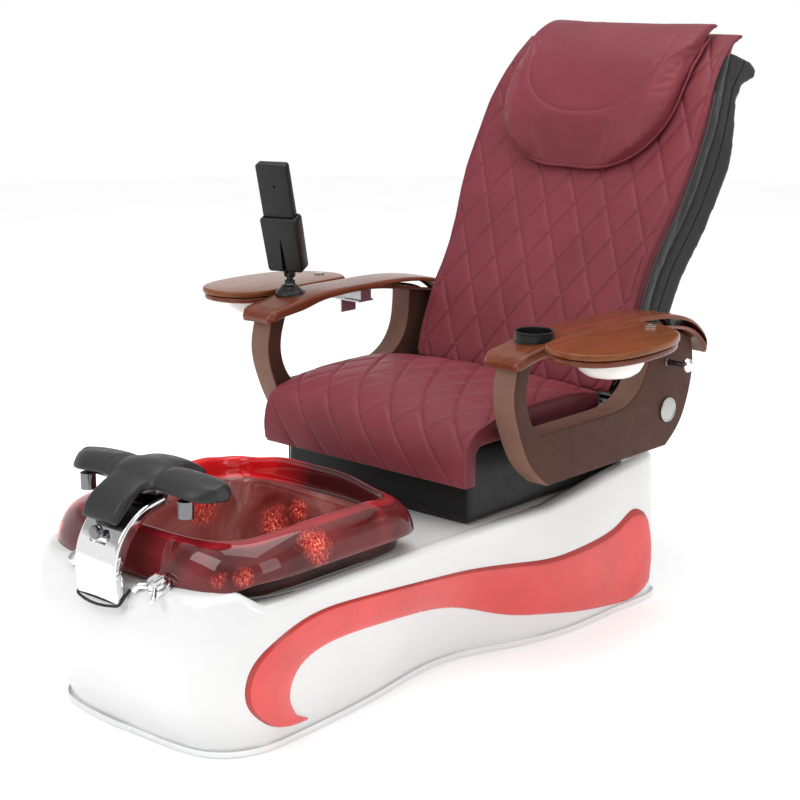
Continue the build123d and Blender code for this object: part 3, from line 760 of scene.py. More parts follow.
def make_base():
    count = SECTIONS.shape[1]
    tops, columns = [], []
    for k in range(count):
        z = 320.0
        for _ in range(6):
            z = shoulder_height(base_point(k, z)[1])
        tops.append(z)
    soft = 15       # radius of the shoulder
    foot = 2        # gap under the shell
    loops = []
    for share in (0, 0.03, 0.1, 0.2, 0.32, 0.44, 0.56, 0.68, 0.79, 0.89, 0.96, 1):
        levels = [foot + (tops[k] - soft - foot) * share for k in range(count)]
        loops.append([(*base_point(k, z), z) for k, z in enumerate(levels)])
    inner = [inner_edge(*base_point(k, tops[k])) for k in range(count)]
    for angle in (22, 45, 68, 90):
        a = math.radians(angle)
        loop = []
        for k in range(count):
            edge = np.array(base_point(k, tops[k] - soft * (1 - math.sin(a))))
            inward = np.array(inner[k]) - edge
            inward /= np.linalg.norm(inward)
            p = edge + inward * soft * (1 - math.cos(a))
            loop.append((*p, tops[k] - soft * (1 - math.sin(a))))
        loops.append(loop)
    crown = loops[-1]
    for drop, move in ((0, 0.5), (0, 0.94), (1, 0.985), (4, 1.0), (12, 1.0), (60, 1.0)):
        loop = []
        for k in range(count):
            p = np.array(crown[k][:2]) * (1 - move) + np.array(inner[k]) * move
            level = shoulder_height(p[1]) if move > 0.3 else crown[k][2]
            loop.append((*p, min(level, crown[k][2] + 4) - drop))
        loops.append(loop)
    for height in (230, 120, 16, foot):
        loops.append([tuple(np.array(base_point(k, height)) * (0.975, 0.985)) + (height,)
                      for k in range(count)])
    shell = rings("base_body", loops, closed=True, sharp=50)
    place(shell, "base", "gelcoat", white_gel, "base_shell")
    ring = np.array([inner_edge(*base_point(k, 300)) for k in range(count)])
    hole = superellipse(283, -851, -329)
    deck = plate("deck", [ring, hole[::-1]], "Z", 312, 320, 1.5, 2)
    place(deck, "base", "gelcoat", white_gel, "base_shell")


def signed_power(value, power):
    return abs(value) ** power * math.copysign(1, value)


def superellipse(half, front, rear, power=3.2, count=72):
    middle, reach = (front + rear) / 2, (rear - front) / 2
    return np.array([(half * signed_power(math.cos(t), 2 / power),
                      middle + reach * signed_power(math.sin(t), 2 / power))
                     for t in np.linspace(0, 2 * math.pi, count, endpoint=False)])


SIDE_LEVELS = np.arange(0, 300, 12)
SIDE_RINGS = [np.array([base_point(k, z) for k in range(3, SECTIONS.shape[1] // 2 - 2)])
              for z in SIDE_LEVELS]


def side_reach(y, z):
    """Half width of the base at a place on its side."""
    i = int(np.clip(z // 12, 0, len(SIDE_LEVELS) - 2))
    low, high = (float(np.interp(y, ring[:, 1], ring[:, 0])) for ring in SIDE_RINGS[i:i + 2])
    return low + (high - low) * (z / 12 - i)


WAVE_TOP = [(-654, 31), (-700, 35), (-745, 46), (-790, 76), (-826, 118), (-838, 165), (-829, 206),
            (-767, 250), (-659, 272), (-537, 268), (-400, 255), (-275, 240), (-133, 224), (0, 208),
            (100, 198), (206, 200), (294, 206), (362, 224), (415, 244), (452, 228)]
WAVE_LOW = [(-650, 34), (-664, 41), (-683, 52), (-700, 72), (-717, 104), (-717, 134), (-700, 165),
            (-660, 185), (-594, 193), (-496, 189), (-365, 174), (-255, 155), (-140, 125), (-20, 83),
            (90, 62), (185, 44), (269, 30), (345, 20), (420, 19), (472, 36)]


def make_wave(side, name):
    """The raised wave on the flank: a broad face with a bevelled upper edge."""
    top, low = spline(WAVE_TOP, 8), spline(WAVE_LOW, 8)
    across = (0, 0.0, 0.03, 0.07, 0.12, 0.3, 0.5, 0.7, 0.9, 0.96, 0.99, 1.0, 1.0)
    raise_by = (-3, 0.5, 2.5, 5.5, 7.2, 7.8, 8.0, 7.8, 7.2, 5.5, 3.0, 0.5, -3)
    points, faces = [], []
    for i, (a, b) in enumerate(zip(top, low)):
        share = i / (len(top) - 1)
        tail = smooth(0.9, 1.0, share)
        width = np.linalg.norm(a - b)
        for t, lift in zip(across, raise_by):
            if width < 60:
                lift = -3 if lift < 0 else lift * min(1, 0.25 + width / 60)
            y, z = a + (b - a) * t
            y += 20 * tail * 4 * t * (1 - t)
            points.append((side * (side_reach(y, z) + lift), y, z))
    n = len(across)
    for i in range(len(top) - 1):
        for k in range(n - 1):
            faces.append((i * n + k, i * n + k + 1, (i + 1) * n + k + 1, (i + 1) * n + k))
        faces.append((i * n + n - 1, i * n, (i + 1) * n, (i + 1) * n + n - 1))
    faces.append(tuple(range(n)))
    faces.append(tuple((len(top) - 1) * n + k for k in range(n)))
    wave = build("wave_" + name, points, faces, 60)
    place(wave, "base", "accent", [coral, coral_edge], "accent_" + name)
    for face in wave.data.polygons:
        row = [v % n for v in face.vertices]
        face.material_index = 1 if len(row) == 4 and max(row) <= 3 else 0


make_base()
for side, name in SIDES:
    make_wave(side, name)


# ---- foot basin ----
def squared(half, front, rear):
    """A plan loop, softly rounded in front and nearly square behind, with evenly spaced points."""
    middle = -600       # y where the front's curve meets the rear's
    loop = []
    for t in np.linspace(0, 2 * math.pi, 1440, endpoint=False):
        c, s = math.cos(t), math.sin(t)
        reach, power = (rear - middle, 9) if s > 0 else (middle - front, 4.4)
        loop.append((half * signed_power(c, 2 / power), middle + reach * signed_power(s, 2 / power)))
    loop = np.array(loop + loop[:1])
    walked = np.concatenate([[0], np.cumsum(np.linalg.norm(np.diff(loop, axis=0), axis=1))])
    stops = np.linspace(0, walked[-1], BASIN_POINTS, endpoint=False)
    return np.stack([np.interp(stops, walked, loop[:, i]) for i in (0, 1)], axis=1)


def with_height(loop, z):
    return [(x, y, z) for x, y in loop]


def rim(spread, height, rise):
    """A closed loop round the basin: spread moves it out from the crest, rise follows the crest's wave."""
    loop = squared(250 + spread, -834 - 0.85 * spread, -342 + 0.55 * spread)
    rows = []
    for x, y in loop:
        wave = 12 * smooth(-400, -340, y) * smooth(190, 60, abs(x))
        wave = wave - 8 * smooth(-440, -380, y) * smooth(110, 220, abs(x)) - 7 * smooth(-640, -790, y)
        droop = 16 * smooth(-790, -860, y) * smooth(25, 55, spread)
        rows.append((x, y, height + rise * wave - droop))
    return rows


def make_basin():
    """One moulded bowl: a dark tier, an apron that falls outward, a crest and the tub inside."""
    loops = [with_height(squared(281, -849, -331), z) for z in (321, 345)]
    loops += [rim(36, 357, 0), rim(56, 359, 0), rim(60, 361, 0), rim(61, 364, 0), rim(60.5, 368, 0)]
    loops += [rim(57, 385, 0.15), rim(50, 403, 0.4), rim(38, 420, 0.7), rim(22, 432, 0.9), rim(8, 438, 1),
              rim(0, 440, 1), rim(-7, 437, 1), rim(-11, 429, 1), rim(-13, 412, 0.8), rim(-15, 396, 0.5),
              rim(-22, 391, 0.3), rim(-30, 386, 0.2), rim(-34, 370, 0.1)]
    steps = [(208, -792, -376, 320), (200, -784, -386, 262), (184, -774, -400, 222),
             (164, -764, -414, 198), (140, -750, -436, 188.4), (60, -640, -540, 188.2)]
    loops += [with_height(squared(half, front, rear), z) for half, front, rear, z in steps]
    under = [(60, -640, -540, 182), (150, -770, -420, 183), (196, -790, -390, 214), (222, -806, -372, 262),
             (262, -832, -345, 316)]
    below = [with_height(squared(h, f, r), z) for h, f, r, z in under]
    bowl = rings("basin_bowl", below + loops, sharp=50)
    place(bowl, "base", "gelcoat", [tub, tub_band_light_and_shade, tub_crest_highlight, tub_wall, tub_floor], "basin")
    for face in bowl.data.polygons:
        ring = min(face.vertices) // BASIN_POINTS - len(below)
        if ring < 2 or ring > 21:
            face.material_index = 4     # tier, floor and underside
        elif ring > 16:
            face.material_index = 3     # the tub's wall
        # the band inside the crest gets the bright red painted light, shading off towards +x
        elif ring > 11:
            face.material_index = 1     # band inside the crest
        # the crest gets the painted highlight
        elif ring > 9:
            face.material_index = 2     # crest
        # the apron's far flank also gets the bright red painted light
        elif face.center.x < -235 * MM:
            face.material_index = 1     # the far flank of the apron
    subdivided(bowl, 1)


make_basin()


# ---- quilting ----
def off_line(running, pitch):
    """How far a running coordinate is from the nearest of a family of evenly spaced lines."""
    return np.abs((running + pitch / 2) % pitch - pitch / 2)


def press(piece, distance, mask, depth=3.0, fine=2.6):
    lift = -depth * np.exp(-(distance / fine) ** 2) - 1.6 * np.exp(-(distance / 9) ** 2)
    set_coords(piece, coords(piece) + normals(piece) * (lift * mask)[:, None])


def polyline_distance(points, line):
    """Distance from each point to a line of straight runs."""
    best = np.full(len(points), 1e9)
    for a, b in zip(line[:-1], line[1:]):
        a, b = np.array(a, float), np.array(b, float)
        d = b - a
        t = np.clip(((points - a) @ d) / (d @ d), 0, 1)
        best = np.minimum(best, np.linalg.norm(points - (a + t[:, None] * d), axis=1))
    return best


def paint_faces(piece, test):
    """Gives the second material to the faces that pass a test of centre and normal."""
    for face in piece.data.polygons:
        if test(face.center / MM, face.normal):
            face.material_index = 1


def edge_line(co, stations, where, reach, pick):
    """The line of corner points of a pad: at each station the point that reaches furthest."""
    line = []
    for at in stations:
        near = np.nonzero(np.abs(where - at) < reach)[0]
        if len(near):
            line.append(co[near[np.argmax(pick[near])]])
    line = np.array(line)
    for _ in range(6):
        line[1:-1] = (line[:-2] + 2 * line[1:-1] + line[2:]) / 4
    return line


# ---- back ----
BACK_EDGE = spline([(302, 60), (314, 130), (314, 430), (332, 540), (340, 660), (336, 800), (322, 900),
                    (314, 980), (310, 1060)], 8)


def back_half(u):
    return np.interp(u, BACK_EDGE[:, 1], BACK_EDGE[:, 0])


def back_axes(co):
    u, n = from_back(co[:, 1], co[:, 2])
    return co[:, 0], u, n


def back_lines(x, u):
    """Distance to the nearest of the back's two crossing families of stitch lines."""
    pitch, slope = QUILT
    flat = 1 / math.hypot(1, slope)
    return np.minimum(off_line(x + slope * u + 25, pitch) * flat, off_line(x - slope * u - 25, pitch) * flat)


def make_back():
    pad = soft_copy("back_pad", "back_cushion", 5, 6)
    x, u, n = back_axes(coords(pad))
    inside = (n < -8) & (np.abs(x) < back_half(u) - 16)
    inflate(pad, 13, (n > 0) | (inside & (back_lines(x, u) < 3.6)))
    finer(pad)
    x, u, n = back_axes(coords(pad))
    facing = -(normals(pad) @ REARWARD)
    border = back_half(u) - 18 - np.abs(x)
    mask = smooth(0.45, 0.75, facing) * smooth(-3, 5, border)
    press(pad, back_lines(x, u), mask, 3.4, 2.6)
    press(pad, np.abs(border), smooth(0.3, 0.6, facing) * smooth(1010, 990, u), 2.2, 2.4)
    place(pad, "back", "back_leather", [maroon, maroon_side_shade, black], "back_cushion")
    # side faces get the darker maroon as painted shade, and the black vinyl towards the rear
    for face in pad.data.polygons:
        reach, depth = from_back(face.center.y / MM, face.center.z / MM)
        if abs(face.normal.x) > 0.7 or (depth > -30 and reach < 880):
            face.material_index = 2 if depth > -42 and reach < 955 else 1
    co = coords(pad)
    x, u, n = back_axes(co)
    for side, name in SIDES:
        line = edge_line(co, np.arange(84, 1000, 8), u, 5, side * x * 1.25 - n)
        welt = tube("back_welt_" + name, line, 3.0, 10)
        place(welt, "back", "back_leather", maroon_pipe)
        path = [on_back(side * (back_half(k) + 0.6), k, -42) for k in np.arange(90, 850, 12)]
        place(tube("back_seam_" + name, path, 1.5, 8), "back", "back_leather", dark_thread)


# u up the back, and how far rearward the shell's side seam lies there
SHELL_SEAM = ((60, 500, 700, 900, 1000), (52, 56, 60, 56, 90))


def make_shell():
    shell = soft_copy("shell_cover", "back_shell", 0.5, 6)
    finer(shell)
    co = coords(shell)
    x, u, n = back_axes(co)
    seam = np.interp(u, *SHELL_SEAM)
    side = smooth(0.7, 0.95, np.abs(normals(shell)[:, 0]))
    set_coords(shell, co - normals(shell) * (2.2 * np.exp(-((n - seam) / 2.4) ** 2) * side)[:, None])
    co = coords(shell)
    rear = smooth(0.7, 0.95, normals(shell) @ REARWARD)
    arc = np.abs(np.abs(x) - (back_half(u) - 70))
    set_coords(shell, co - normals(shell) * (2.2 * np.exp(-(arc / 2.4) ** 2) * rear)[:, None])
    place(shell, "back", "black_vinyl", black, "back_shell")
    for side, name in SIDES:
        path = [on_back(side * (back_half(k) - 13.4), k, np.interp(k, *SHELL_SEAM) + 5)
                for k in np.arange(84, 940, 12)]
        row = stitches("shell_stitch_" + name, path, [(side, 0, 0)], 9, 5.5, 0.6)
        place(row, "back", "black_vinyl", dark_thread)


PILLOW_BACK = [(606, -69.5), (732, -66), (897, -52), (964, -30), (1045, 31)]
PILLOW_SEAM = spline([(-196, 990), (-192, 900), (-180, 835), (-142, 785), (-80, 752), (0, 741), (80, 752),
                      (142, 785), (180, 835), (192, 900), (196, 990)], 6)


def pillow_back(u):
    return np.interp(u, [p[0] for p in PILLOW_BACK], [p[1] for p in PILLOW_BACK])


def pillow_rim(co):
    """The line round the settled pillow, just in front of the back, for its piping."""
    x, u, n = back_axes(co)
    band = np.abs(n - pillow_back(u) + 7) < 8
    turn = np.arctan2(u[band] - 850, x[band])
    far = np.hypot(x[band], u[band] - 850)
    rim_line = []
    for at in np.radians(np.arange(33, -214, -3)):
        near = np.abs((turn - at + math.pi) % math.tau - math.pi) < 0.04
        if near.any():
            rim_line.append((at, far[near].max()))
    at, reach = np.array(rim_line).T
    for _ in range(4):
        reach[1:-1] = (reach[:-2] + 2 * reach[1:-1] + reach[2:]) / 4
    rim_x, rim_u = reach * np.cos(at), 850 + reach * np.sin(at)
    return [on_back(a, b, pillow_back(b) - 6) for a, b in zip(rim_x, rim_u)]


def make_pillow():
    pillow = soft_copy("head_pad", "head_pillow", 3, 5)
    x, u, n = back_axes(coords(pillow))
    inflate(pillow, 12, n > pillow_back(u) - 5)
    finer(pillow)
    x, u, n = back_axes(coords(pillow))
    facing = -(normals(pillow) @ REARWARD)
    seam = polyline_distance(np.stack([x, u], axis=1), PILLOW_SEAM)
    press(pillow, seam, smooth(0.4, 0.7, facing), 1.6, 3.2)
    place(pillow, "back", "back_leather", maroon, "head_pillow")
    welt = tube("head_pad_welt", pillow_rim(coords(pillow)), 4.2, 10)
    place(welt, "back", "back_leather", maroon_pipe)


# ---- seat ----
SEAT_LINE = np.array([(-196, 414), (-199, 455), (-196, 495), (-180, 530), (-145, 552), (-60, 566),
                      (80, 574), (220, 568), (303, 552)], float)


def seat_along(co):
    """Distance round the seat's front roll and back along its top."""
    best, s = np.full(len(co), 1e9), np.zeros(len(co))
    start = 0.0
    points = co[:, 1:]
    for a, b in zip(SEAT_LINE[:-1], SEAT_LINE[1:]):
        d = b - a
        t = np.clip(((points - a) @ d) / (d @ d), 0, 1)
        gap = np.linalg.norm(points - (a + t[:, None] * d), axis=1)
        closer = gap < best
        best[closer] = gap[closer]
        s[closer] = (start + t * np.linalg.norm(d))[closer]
        start += np.linalg.norm(d)
    return s


def seat_lines(co):
    s = seat_along(co)
    x = co[:, 0]
    fall = np.where(s < 190, 0.85 * s, 161.5 + 0.6 * (s - 190))
    first = off_line(x + fall - 279, SEAT_PITCH) * 0.8
    second = off_line(x - 0.57 * (s - 115) - 181, SEAT_PITCH) * 0.87
    second = np.where(s < 112, 60, second)
    return s, np.minimum(first, second)


def crown_seat(co):
    """The pad is highest along its middle and falls away to the arms and the front roll."""
    x, y, z = co.T
    dome = np.clip(1 - (x / 322) ** 2, 0, 1) ** 0.75
    lift = 24 * dome * smooth(-210, -60, y) * smooth(520, 556, z) * (1 - 0.35 * smooth(150, 303, y))
    return np.stack([x, y, z + lift], axis=1)


def make_seat():
    pad = soft_copy("seat_pad", "seat_cushion", 5, 6)
    co = coords(pad)
    s, d = seat_lines(co)
    upper = (co[:, 2] > 540) | (co[:, 1] < -176)
    inside = upper & (np.abs(co[:, 0]) < 300)
    under = (co[:, 2] < 512) & (co[:, 1] > -160) | (co[:, 1] > 290)
    inflate(pad, 16, under | (inside & (d < 3.6)))
    finer(pad)
    co = coords(pad)
    s, d = seat_lines(co)
    normal = normals(pad)
    facing = np.maximum(normal[:, 2], -normal[:, 1])
    border = 303 - np.abs(co[:, 0])
    mask = smooth(0.4, 0.7, facing) * smooth(-3, 5, border) * (co[:, 2] > 412) * (co[:, 1] < 300)
    press(pad, d, mask, 3.4, 2.8)
    set_coords(pad, crown_seat(coords(pad)))
    place(pad, "seat", "seat_leather", [maroon, maroon_side_shade], "seat_cushion")
    # the seat's side faces get the darker maroon as painted shade
    paint_faces(pad, lambda c, normal: abs(normal.x) > 0.8)
    co = coords(pad)
    s = seat_along(co)
    out = np.maximum(0, co[:, 2] - 480) * smooth(60, 120, s) - co[:, 1] * smooth(200, 100, s)
    for side, name in SIDES:
        line = edge_line(co, np.arange(10, 560, 7), s, 4, side * co[:, 0] + out)
        welt = tube("seat_welt_" + name, line, 2.8, 10)
        place(welt, "seat", "seat_leather", maroon_pipe)


def make_seat_box():
    box = soft_copy("seat_base_cover", "seat_box", 0.5, 6)
    ease(box, 3, 0.5)
    place(box, "seat", "black_vinyl", black, "seat_box")
    for side, name in SIDES:
        seam = tube("seat_box_seam_" + name,
                    [(side * 277.6, -142.6, z) for z in range(326, 498, 10)], 2.0, 8)
        place(seam, "seat", "black_vinyl", black)
    for k, z in enumerate((331, 338)):
        half = [(271, -145), (280, -136), (280, 420)]
        path = [(-x, y, z) for x, y in reversed(half)] + [(x, y, z) for x, y in half]
        normal = [(-1, 0, 0)] * 19 + [(0, -1, 0)] * 19 + [(1, 0, 0)] * 19
        row = stitches("seat_box_stitch_%d" % k, path, normal, 9, 5.5, 0.6)
        place(row, "seat", "black_vinyl", dark_thread)


make_back()
make_shell()
make_pillow()
make_seat()
make_seat_box()


# ---- footrest ----
def make_footrest():
    pad = soft_copy("foot_cushion", "footrest_pad", 0.5, 4)
    co = coords(pad)
    x, y, z = co.T
    wing = smooth(50, 66, np.abs(x))
    out = np.clip((np.abs(x) - 60) / 154, 0, 1)
    reach = np.sqrt(np.clip(1 - np.clip((out - 0.55) / 0.46, 0, 1) ** 2, 0.05, 1)) * (0.86 + 0.2 * out)
    y = np.where(wing > 0, -806 + (y + 806) * (1 - wing + wing * reach), y)
    z = z - wing * 10 * out ** 2 - wing * 5 * np.exp(-((np.abs(x) - 62) / 12) ** 2)
    z -= wing * 3.5 * np.exp(-((y + 795 + 22 * out) / 9) ** 2) * smooth(535, 550, z) * out
    z += (1 - wing) * 5 * np.clip(1 - (x / 52) ** 2, 0, 1) * smooth(500, 530, z)
    set_coords(pad, np.stack([x, y, z], axis=1))
    ease(pad, 5, 0.5)
    inflate(pad, 4, z < 518, 2, 12)
    finer(pad)
    place(pad, "footrest", "footrest_vinyl", pad_grey, "footrest_pad")


def make_arch():
    front = [(-952, 304), (-957, 340), (-951, 405), (-920, 456), (-870, 488), (-815, 500)]
    rear = [(-800, 480), (-862, 466), (-904, 428), (-926, 385), (-931, 340), (-929, 314)]
    arch = plate("arch", [outline(front, [front[-1], rear[0]], rear, per=10)], "X", -62, 62, 6, 4)
    slot = plate("arch_slot", [box(-24, 418, 24, 470)], "Y", -1000, -939, 5, 3)
    gap = plate("arch_gap", [box(-822, 480, -780, 530)], "X", 30.5, 75, 1, 1)
    carve(arch, slot, gap, mirrored(gap, "arch_far_gap"))
    place(arch, "base", "chrome_trim", chrome, "footrest_bracket")
    foot = [(-64, -920, 330), (-64, -940, 312), (-62, -951, 303), (-54, -954, 301), (54, -954, 301),
            (62, -951, 303), (64, -940, 312), (64, -920, 330)]
    gasket = tube("arch_gasket", spline(foot, 5), 3.0, 8)
    place(gasket, "base", "foot_rubber", rubber)
    knob = lathe("arch_knob", [(0, 0), (13.4, 0), (14, 1), (14, 5), (12, 6.5), (12, 8), (14, 9.5),
                               (14, 14), (12.5, 16.4), (7, 17.3), (0, 17.5)],
                 (0, -939.6, 441), (0, -1, 0), 40)
    place(knob, "footrest_lock", "chrome_trim", dark_chrome, "footrest_knob")


def carve(piece, *cutters):
    """Cuts shapes out of a piece."""
    for cutter in cutters:
        cut = piece.modifiers.new("cut", "BOOLEAN")
        cut.operation = "DIFFERENCE"
        cut.object = cutter
        cut.solver = "EXACT"
    bake(piece)
    for cutter in cutters:
        mesh = cutter.data
        bpy.data.objects.remove(cutter)
        bpy.data.meshes.remove(mesh)
    merge(piece, 0.02)


# ---- taps ----
TAP, SPRAY, TAP_AXIS = np.array((128, -884, 320.0)), np.array((-128, -884, 320.0)), (0, -0.5, 0.866)


def make_taps():
    body = [(0, -4), (32, -4), (32, 3), (30, 6), (26, 8), (25, 10), (25, 20), (23.5, 22.5), (24.5, 24),
            (25, 26), (25, 33), (23, 35.6), (0, 36)]
    tap = lathe("tap_body", body, TAP, TAP_AXIS, 48)
    place(tap, "base", "chrome_trim", chrome, "faucet_body")
    spout = tube("tap_spout", spline([TAP + (-14, -12, 14), TAP + (-30, -24, 22), TAP + (-44, -32, 20),
                                      TAP + (-52, -36, 10)], 6), 7.5, 16)
    place(spout, "base", "chrome_trim", chrome)
    start = TAP + np.array(TAP_AXIS) * 36.5
    hub = lathe("tap_hub", [(0, 0), (21, 0), (22, 1.2), (22, 9), (19, 12.5), (12, 14), (0, 14)],
                start, TAP_AXIS, 12, 20)
    place(hub, "faucet", "chrome_trim", chrome, "faucet_lever")
    way = np.array((0.6, -0.6929, -0.4))
    grip = np.array([start + np.array(TAP_AXIS) * 7 + way * t for t in (12, 20, 34, 48, 58, 62)])
    lever = tube("tap_lever", grip, [4.2, 4.6, 5.2, 5.6, 5.4, 3.0], 14)
    place(lever, "faucet", "chrome_trim", chrome, "faucet_lever")
    ring = lathe("sprayer_ring", [(12.4, 6), (12.4, 24), (17, 24), (21, 21.5), (22, 18), (22, 2), (20, 0),
                                  (12.4, 0)], SPRAY, TAP_AXIS, 40)
    place(ring, "base", "chrome_trim", chrome, "sprayer_holder")
    head = lathe("sprayer_head", [(0, 7), (11, 7), (12, 8), (12, 24), (15, 25.4), (17, 27), (17, 36),
                                  (15, 39.5), (10, 40.8), (0, 41)], SPRAY, TAP_AXIS, 40)
    place(head, "sprayer", "chrome_trim", chrome, "hand_sprayer")


# ---- arms, made for the left side and mirrored ----
PAD_TOP = [(-157, 704), (-148, 716), (-108, 729), (-56, 738), (46, 748), (150, 748), (330, 744),
           (432, 731), (515, 703), (586, 640)]
PAD_UNDER = [(572, 618), (500, 677), (400, 702), (300, 718), (232, 728), (151, 732), (80, 730),
             (18, 724), (-37, 712), (-113, 702), (-152, 692)]


def arm_panel():
    front = [(-131, 696), (-144, 631), (-121, 539), (-81, 465), (-19, 410)]
    rear = [(438, 410), (492, 454), (528, 521), (542, 610), (530, 662)]
    top = [(530, 662), (400, 705), (362, 712)]
    jamb = [(362, 712), (359, 660), (344, 600), (284, 545), (185, 531)]
    window = [(-55, 531), (-86, 573), (-100, 634), (-82, 702)]
    loop = outline(front, [front[-1], rear[0]], rear, top, jamb, [jamb[-1], window[0]], window,
                   [window[-1], front[0]], per=9)
    return plate("arm_side", [loop], "X", *PANEL_X, 5, 4)


def arm_pad(side):
    """The wooden rest, crowned and drawn in at its ends, with a well for what stands on it."""
    pad = plate("arm_rest", [outline(PAD_TOP, [PAD_TOP[-1], PAD_UNDER[0]], PAD_UNDER,
                                     [PAD_UNDER[-1], PAD_TOP[0]], per=9)], "X", *PAD_X, 9, 5)
    finer_strip(pad)
    co = coords(pad)
    x, y, z = co.T
    middle = sum(PAD_X) / 2
    ends = np.sqrt(np.clip(1 - 0.3 * smooth(-130, -158, y) ** 2 - 0.45 * smooth(540, 590, y) ** 2, 0, 1))
    x = middle + (x - middle) * ends
    z = z - 2.0 * ((x - middle) / 54) ** 2
    set_coords(pad, np.stack([x, y, z], axis=1))
    if side > 0:
        well = lathe("cup_well", [(0, 720), (42.5, 720), (42.5, 790), (0, 790)], (*CUP, 0))
    else:
        place_x, place_y = REMOTE
        well = lathe("puck_well", [(0, 738.2), (37.6, 738.2), (37.6, 790), (0, 790)], (-place_x, place_y, 0))
    carve(pad, well)
    return pad


def tray_parts():
    """The manicure tray: lid, ring under it, bowl hung in the ring, and the lid's bolt."""
    tray = np.array([(434, -50), (454, -108), (496, -136), (542, -143), (588, -129), (620, -90),
                     (637, -20), (637, 60), (622, 140), (584, 200), (530, 234), (474, 242), (434, 216)],
                    float)
    lid = plate("lid", [outline(tray, [tray[-1], tray[0]], per=8)], "Z", 734.3, 748, 4.5, 4)
    small = (tray - tray.mean(axis=0)) * 0.965 + tray.mean(axis=0)
    circle = [(BOWL[0] + 75.5 * math.cos(a), BOWL[1] + 75.5 * math.sin(a))
              for a in np.linspace(0, 2 * math.pi, 64, endpoint=False)]
    ring = plate("ring", [outline(small, [small[-1], small[0]], per=8), circle], "Z", 719, 732, 4, 3)
    bowl = lathe("bowl", [(0, 676), (38, 676.5), (52, 680), (65, 690), (72.5, 704), (75, 720), (75, 729),
                          (83, 729), (83.2, 731), (82, 732.6), (73, 732.6), (71.5, 729), (71, 718),
                          (68, 704), (62, 694), (50, 685), (38, 681), (0, 680)], (*BOWL, 0), sides=72)
    bolt = lathe("bolt", [(0, 748.2), (11.4, 748.2), (12, 748.8), (12, 750), (10.5, 751.4), (6.5, 751.6),
                          (5, 750.4), (0, 750.4)], (*TRAY_BOLT, 0), sides=36, sharp=25)
    return lid, ring, bowl, bolt


def make_arm(side, name):
    panel = arm_panel()
    pad = arm_pad(side)
    cap = lathe("cap", [(0, 0), (29, 0), (30, 1), (30, 4), (28.6, 5.6), (26, 6), (25, 4.8), (20, 5.2),
                        (10, 5.9), (0, 6)], (PANEL_X[1] + 0.2, *ARM_PIVOT), (1, 0, 0), 64, 20)
    lid, ring, bowl, bolt = tray_parts()
    fitted = [(panel, "arm_", "arm_brown", brown, "arm_panel_"), (pad, "arm_", "wood", cherry, "arm_pad_"),
              (cap, "arm_", "cap_metal", badge_metal, "pivot_cap_"),
              (lid, "lid_", "wood", cherry_top, "tray_lid_"), (ring, "arm_", "wood", cherry, "tray_ring_"),
              (bowl, "arm_", "bowl_white", bowl_white, "tray_bowl_"),
              (bolt, "arm_", "bracket_steel", chrome, None)]
    for piece, body, slot, look, node in fitted:
        piece.name = piece.name + "_" + name
        if side < 0:
            flipped(piece)
        place(piece, body + name, slot, look, *([node + name] if node else []))
    panel.data.materials.append(brown_band)
    for face in panel.data.polygons:
        face.material_index = 1 if abs(face.normal.x) < 0.6 else 0


def finer_strip(piece):
    """Slices a plate's long faces across so that it can bend."""
    along = (-154, -150, -145, -139, -132, -124, *range(-110, 540, 26), 545, 552, 558, 564, 570, 576, 581)
    cuts = [((0, y * MM, 0), (0, 1, 0)) for y in along]
    cuts += [((x * MM, 0, 0), (1, 0, 0)) for x in (332, 344, 360, 376, 392, 408, 420)]
    with opened(piece.data) as held:
        for point, normal in cuts:
            bmesh.ops.bisect_plane(held, geom=held.verts[:] + held.edges[:] + held.faces[:],
                                   plane_co=point, plane_no=normal)


def make_fittings():
    cup = [(0, 724.3), (41, 724.3), (42.2, 726), (42.2, 737)]
    for z in (739, 744, 749):
        cup += [(42.2, z), (43, z + 0.8), (43, z + 2.6), (42.2, z + 3.4)]
    cup += [(43, 754), (43.4, 756), (42.8, 757.8), (40, 758), (39, 756.5), (39, 730), (37, 727.5), (0, 727.3)]
    ring = lathe("cup_well_ring", cup, (*CUP, 0), sides=72)
    place(ring, "arm_left", "black_plastic", black_plastic, "cup_ring")
    shaft = lathe("hook_shaft", [(0, 0), (9.5, 0), (9.5, 2), (7.5, 4), (6, 30), (5.5, 47), (0, 47)],
                  (PANEL_X[1] + 0.2, *HOOK), (1, 0, 0), 32)
    place(shaft, "arm_left", "chrome_trim", dark_chrome, "purse_hook")
    knob = faceted_knob()
    place(knob, "arm_left", "chrome_trim", chrome, "purse_hook")


def faceted_knob():
    """A cut knob: rings of flat facets, each ring turned half a step from the last."""
    points = []
    for i, (r, h) in enumerate([(7, 46), (13, 47.5), (17, 52), (17, 59), (14, 65), (8, 69.2)]):
        for t in np.linspace(0, 2 * math.pi, 9, endpoint=False) + i * math.pi / 9:
            points.append((PANEL_X[1] + h, HOOK[0] + r * math.cos(t), HOOK[1] + r * math.sin(t)))
    faces = [tuple(range(9)), tuple(range(45, 54))]
    for i in range(5):
        for k in range(9):
            j = (k + 1) % 9
            faces += [(i * 9 + k, i * 9 + j, i * 9 + 9 + k), (i * 9 + j, i * 9 + 9 + j, i * 9 + 9 + k)]
    return build("hook_knob", points, faces, 5)


# ---- remote control ----
STAND = (Matrix.Translation((REMOTE[0] * MM, REMOTE[1] * MM, 0))
         @ Matrix.Rotation(math.radians(REMOTE_TURN), 4, "Z"))
HOLDER = Matrix.Translation((0, 0, 0.790)) @ STAND @ Matrix.Rotation(math.radians(18), 4, "X")


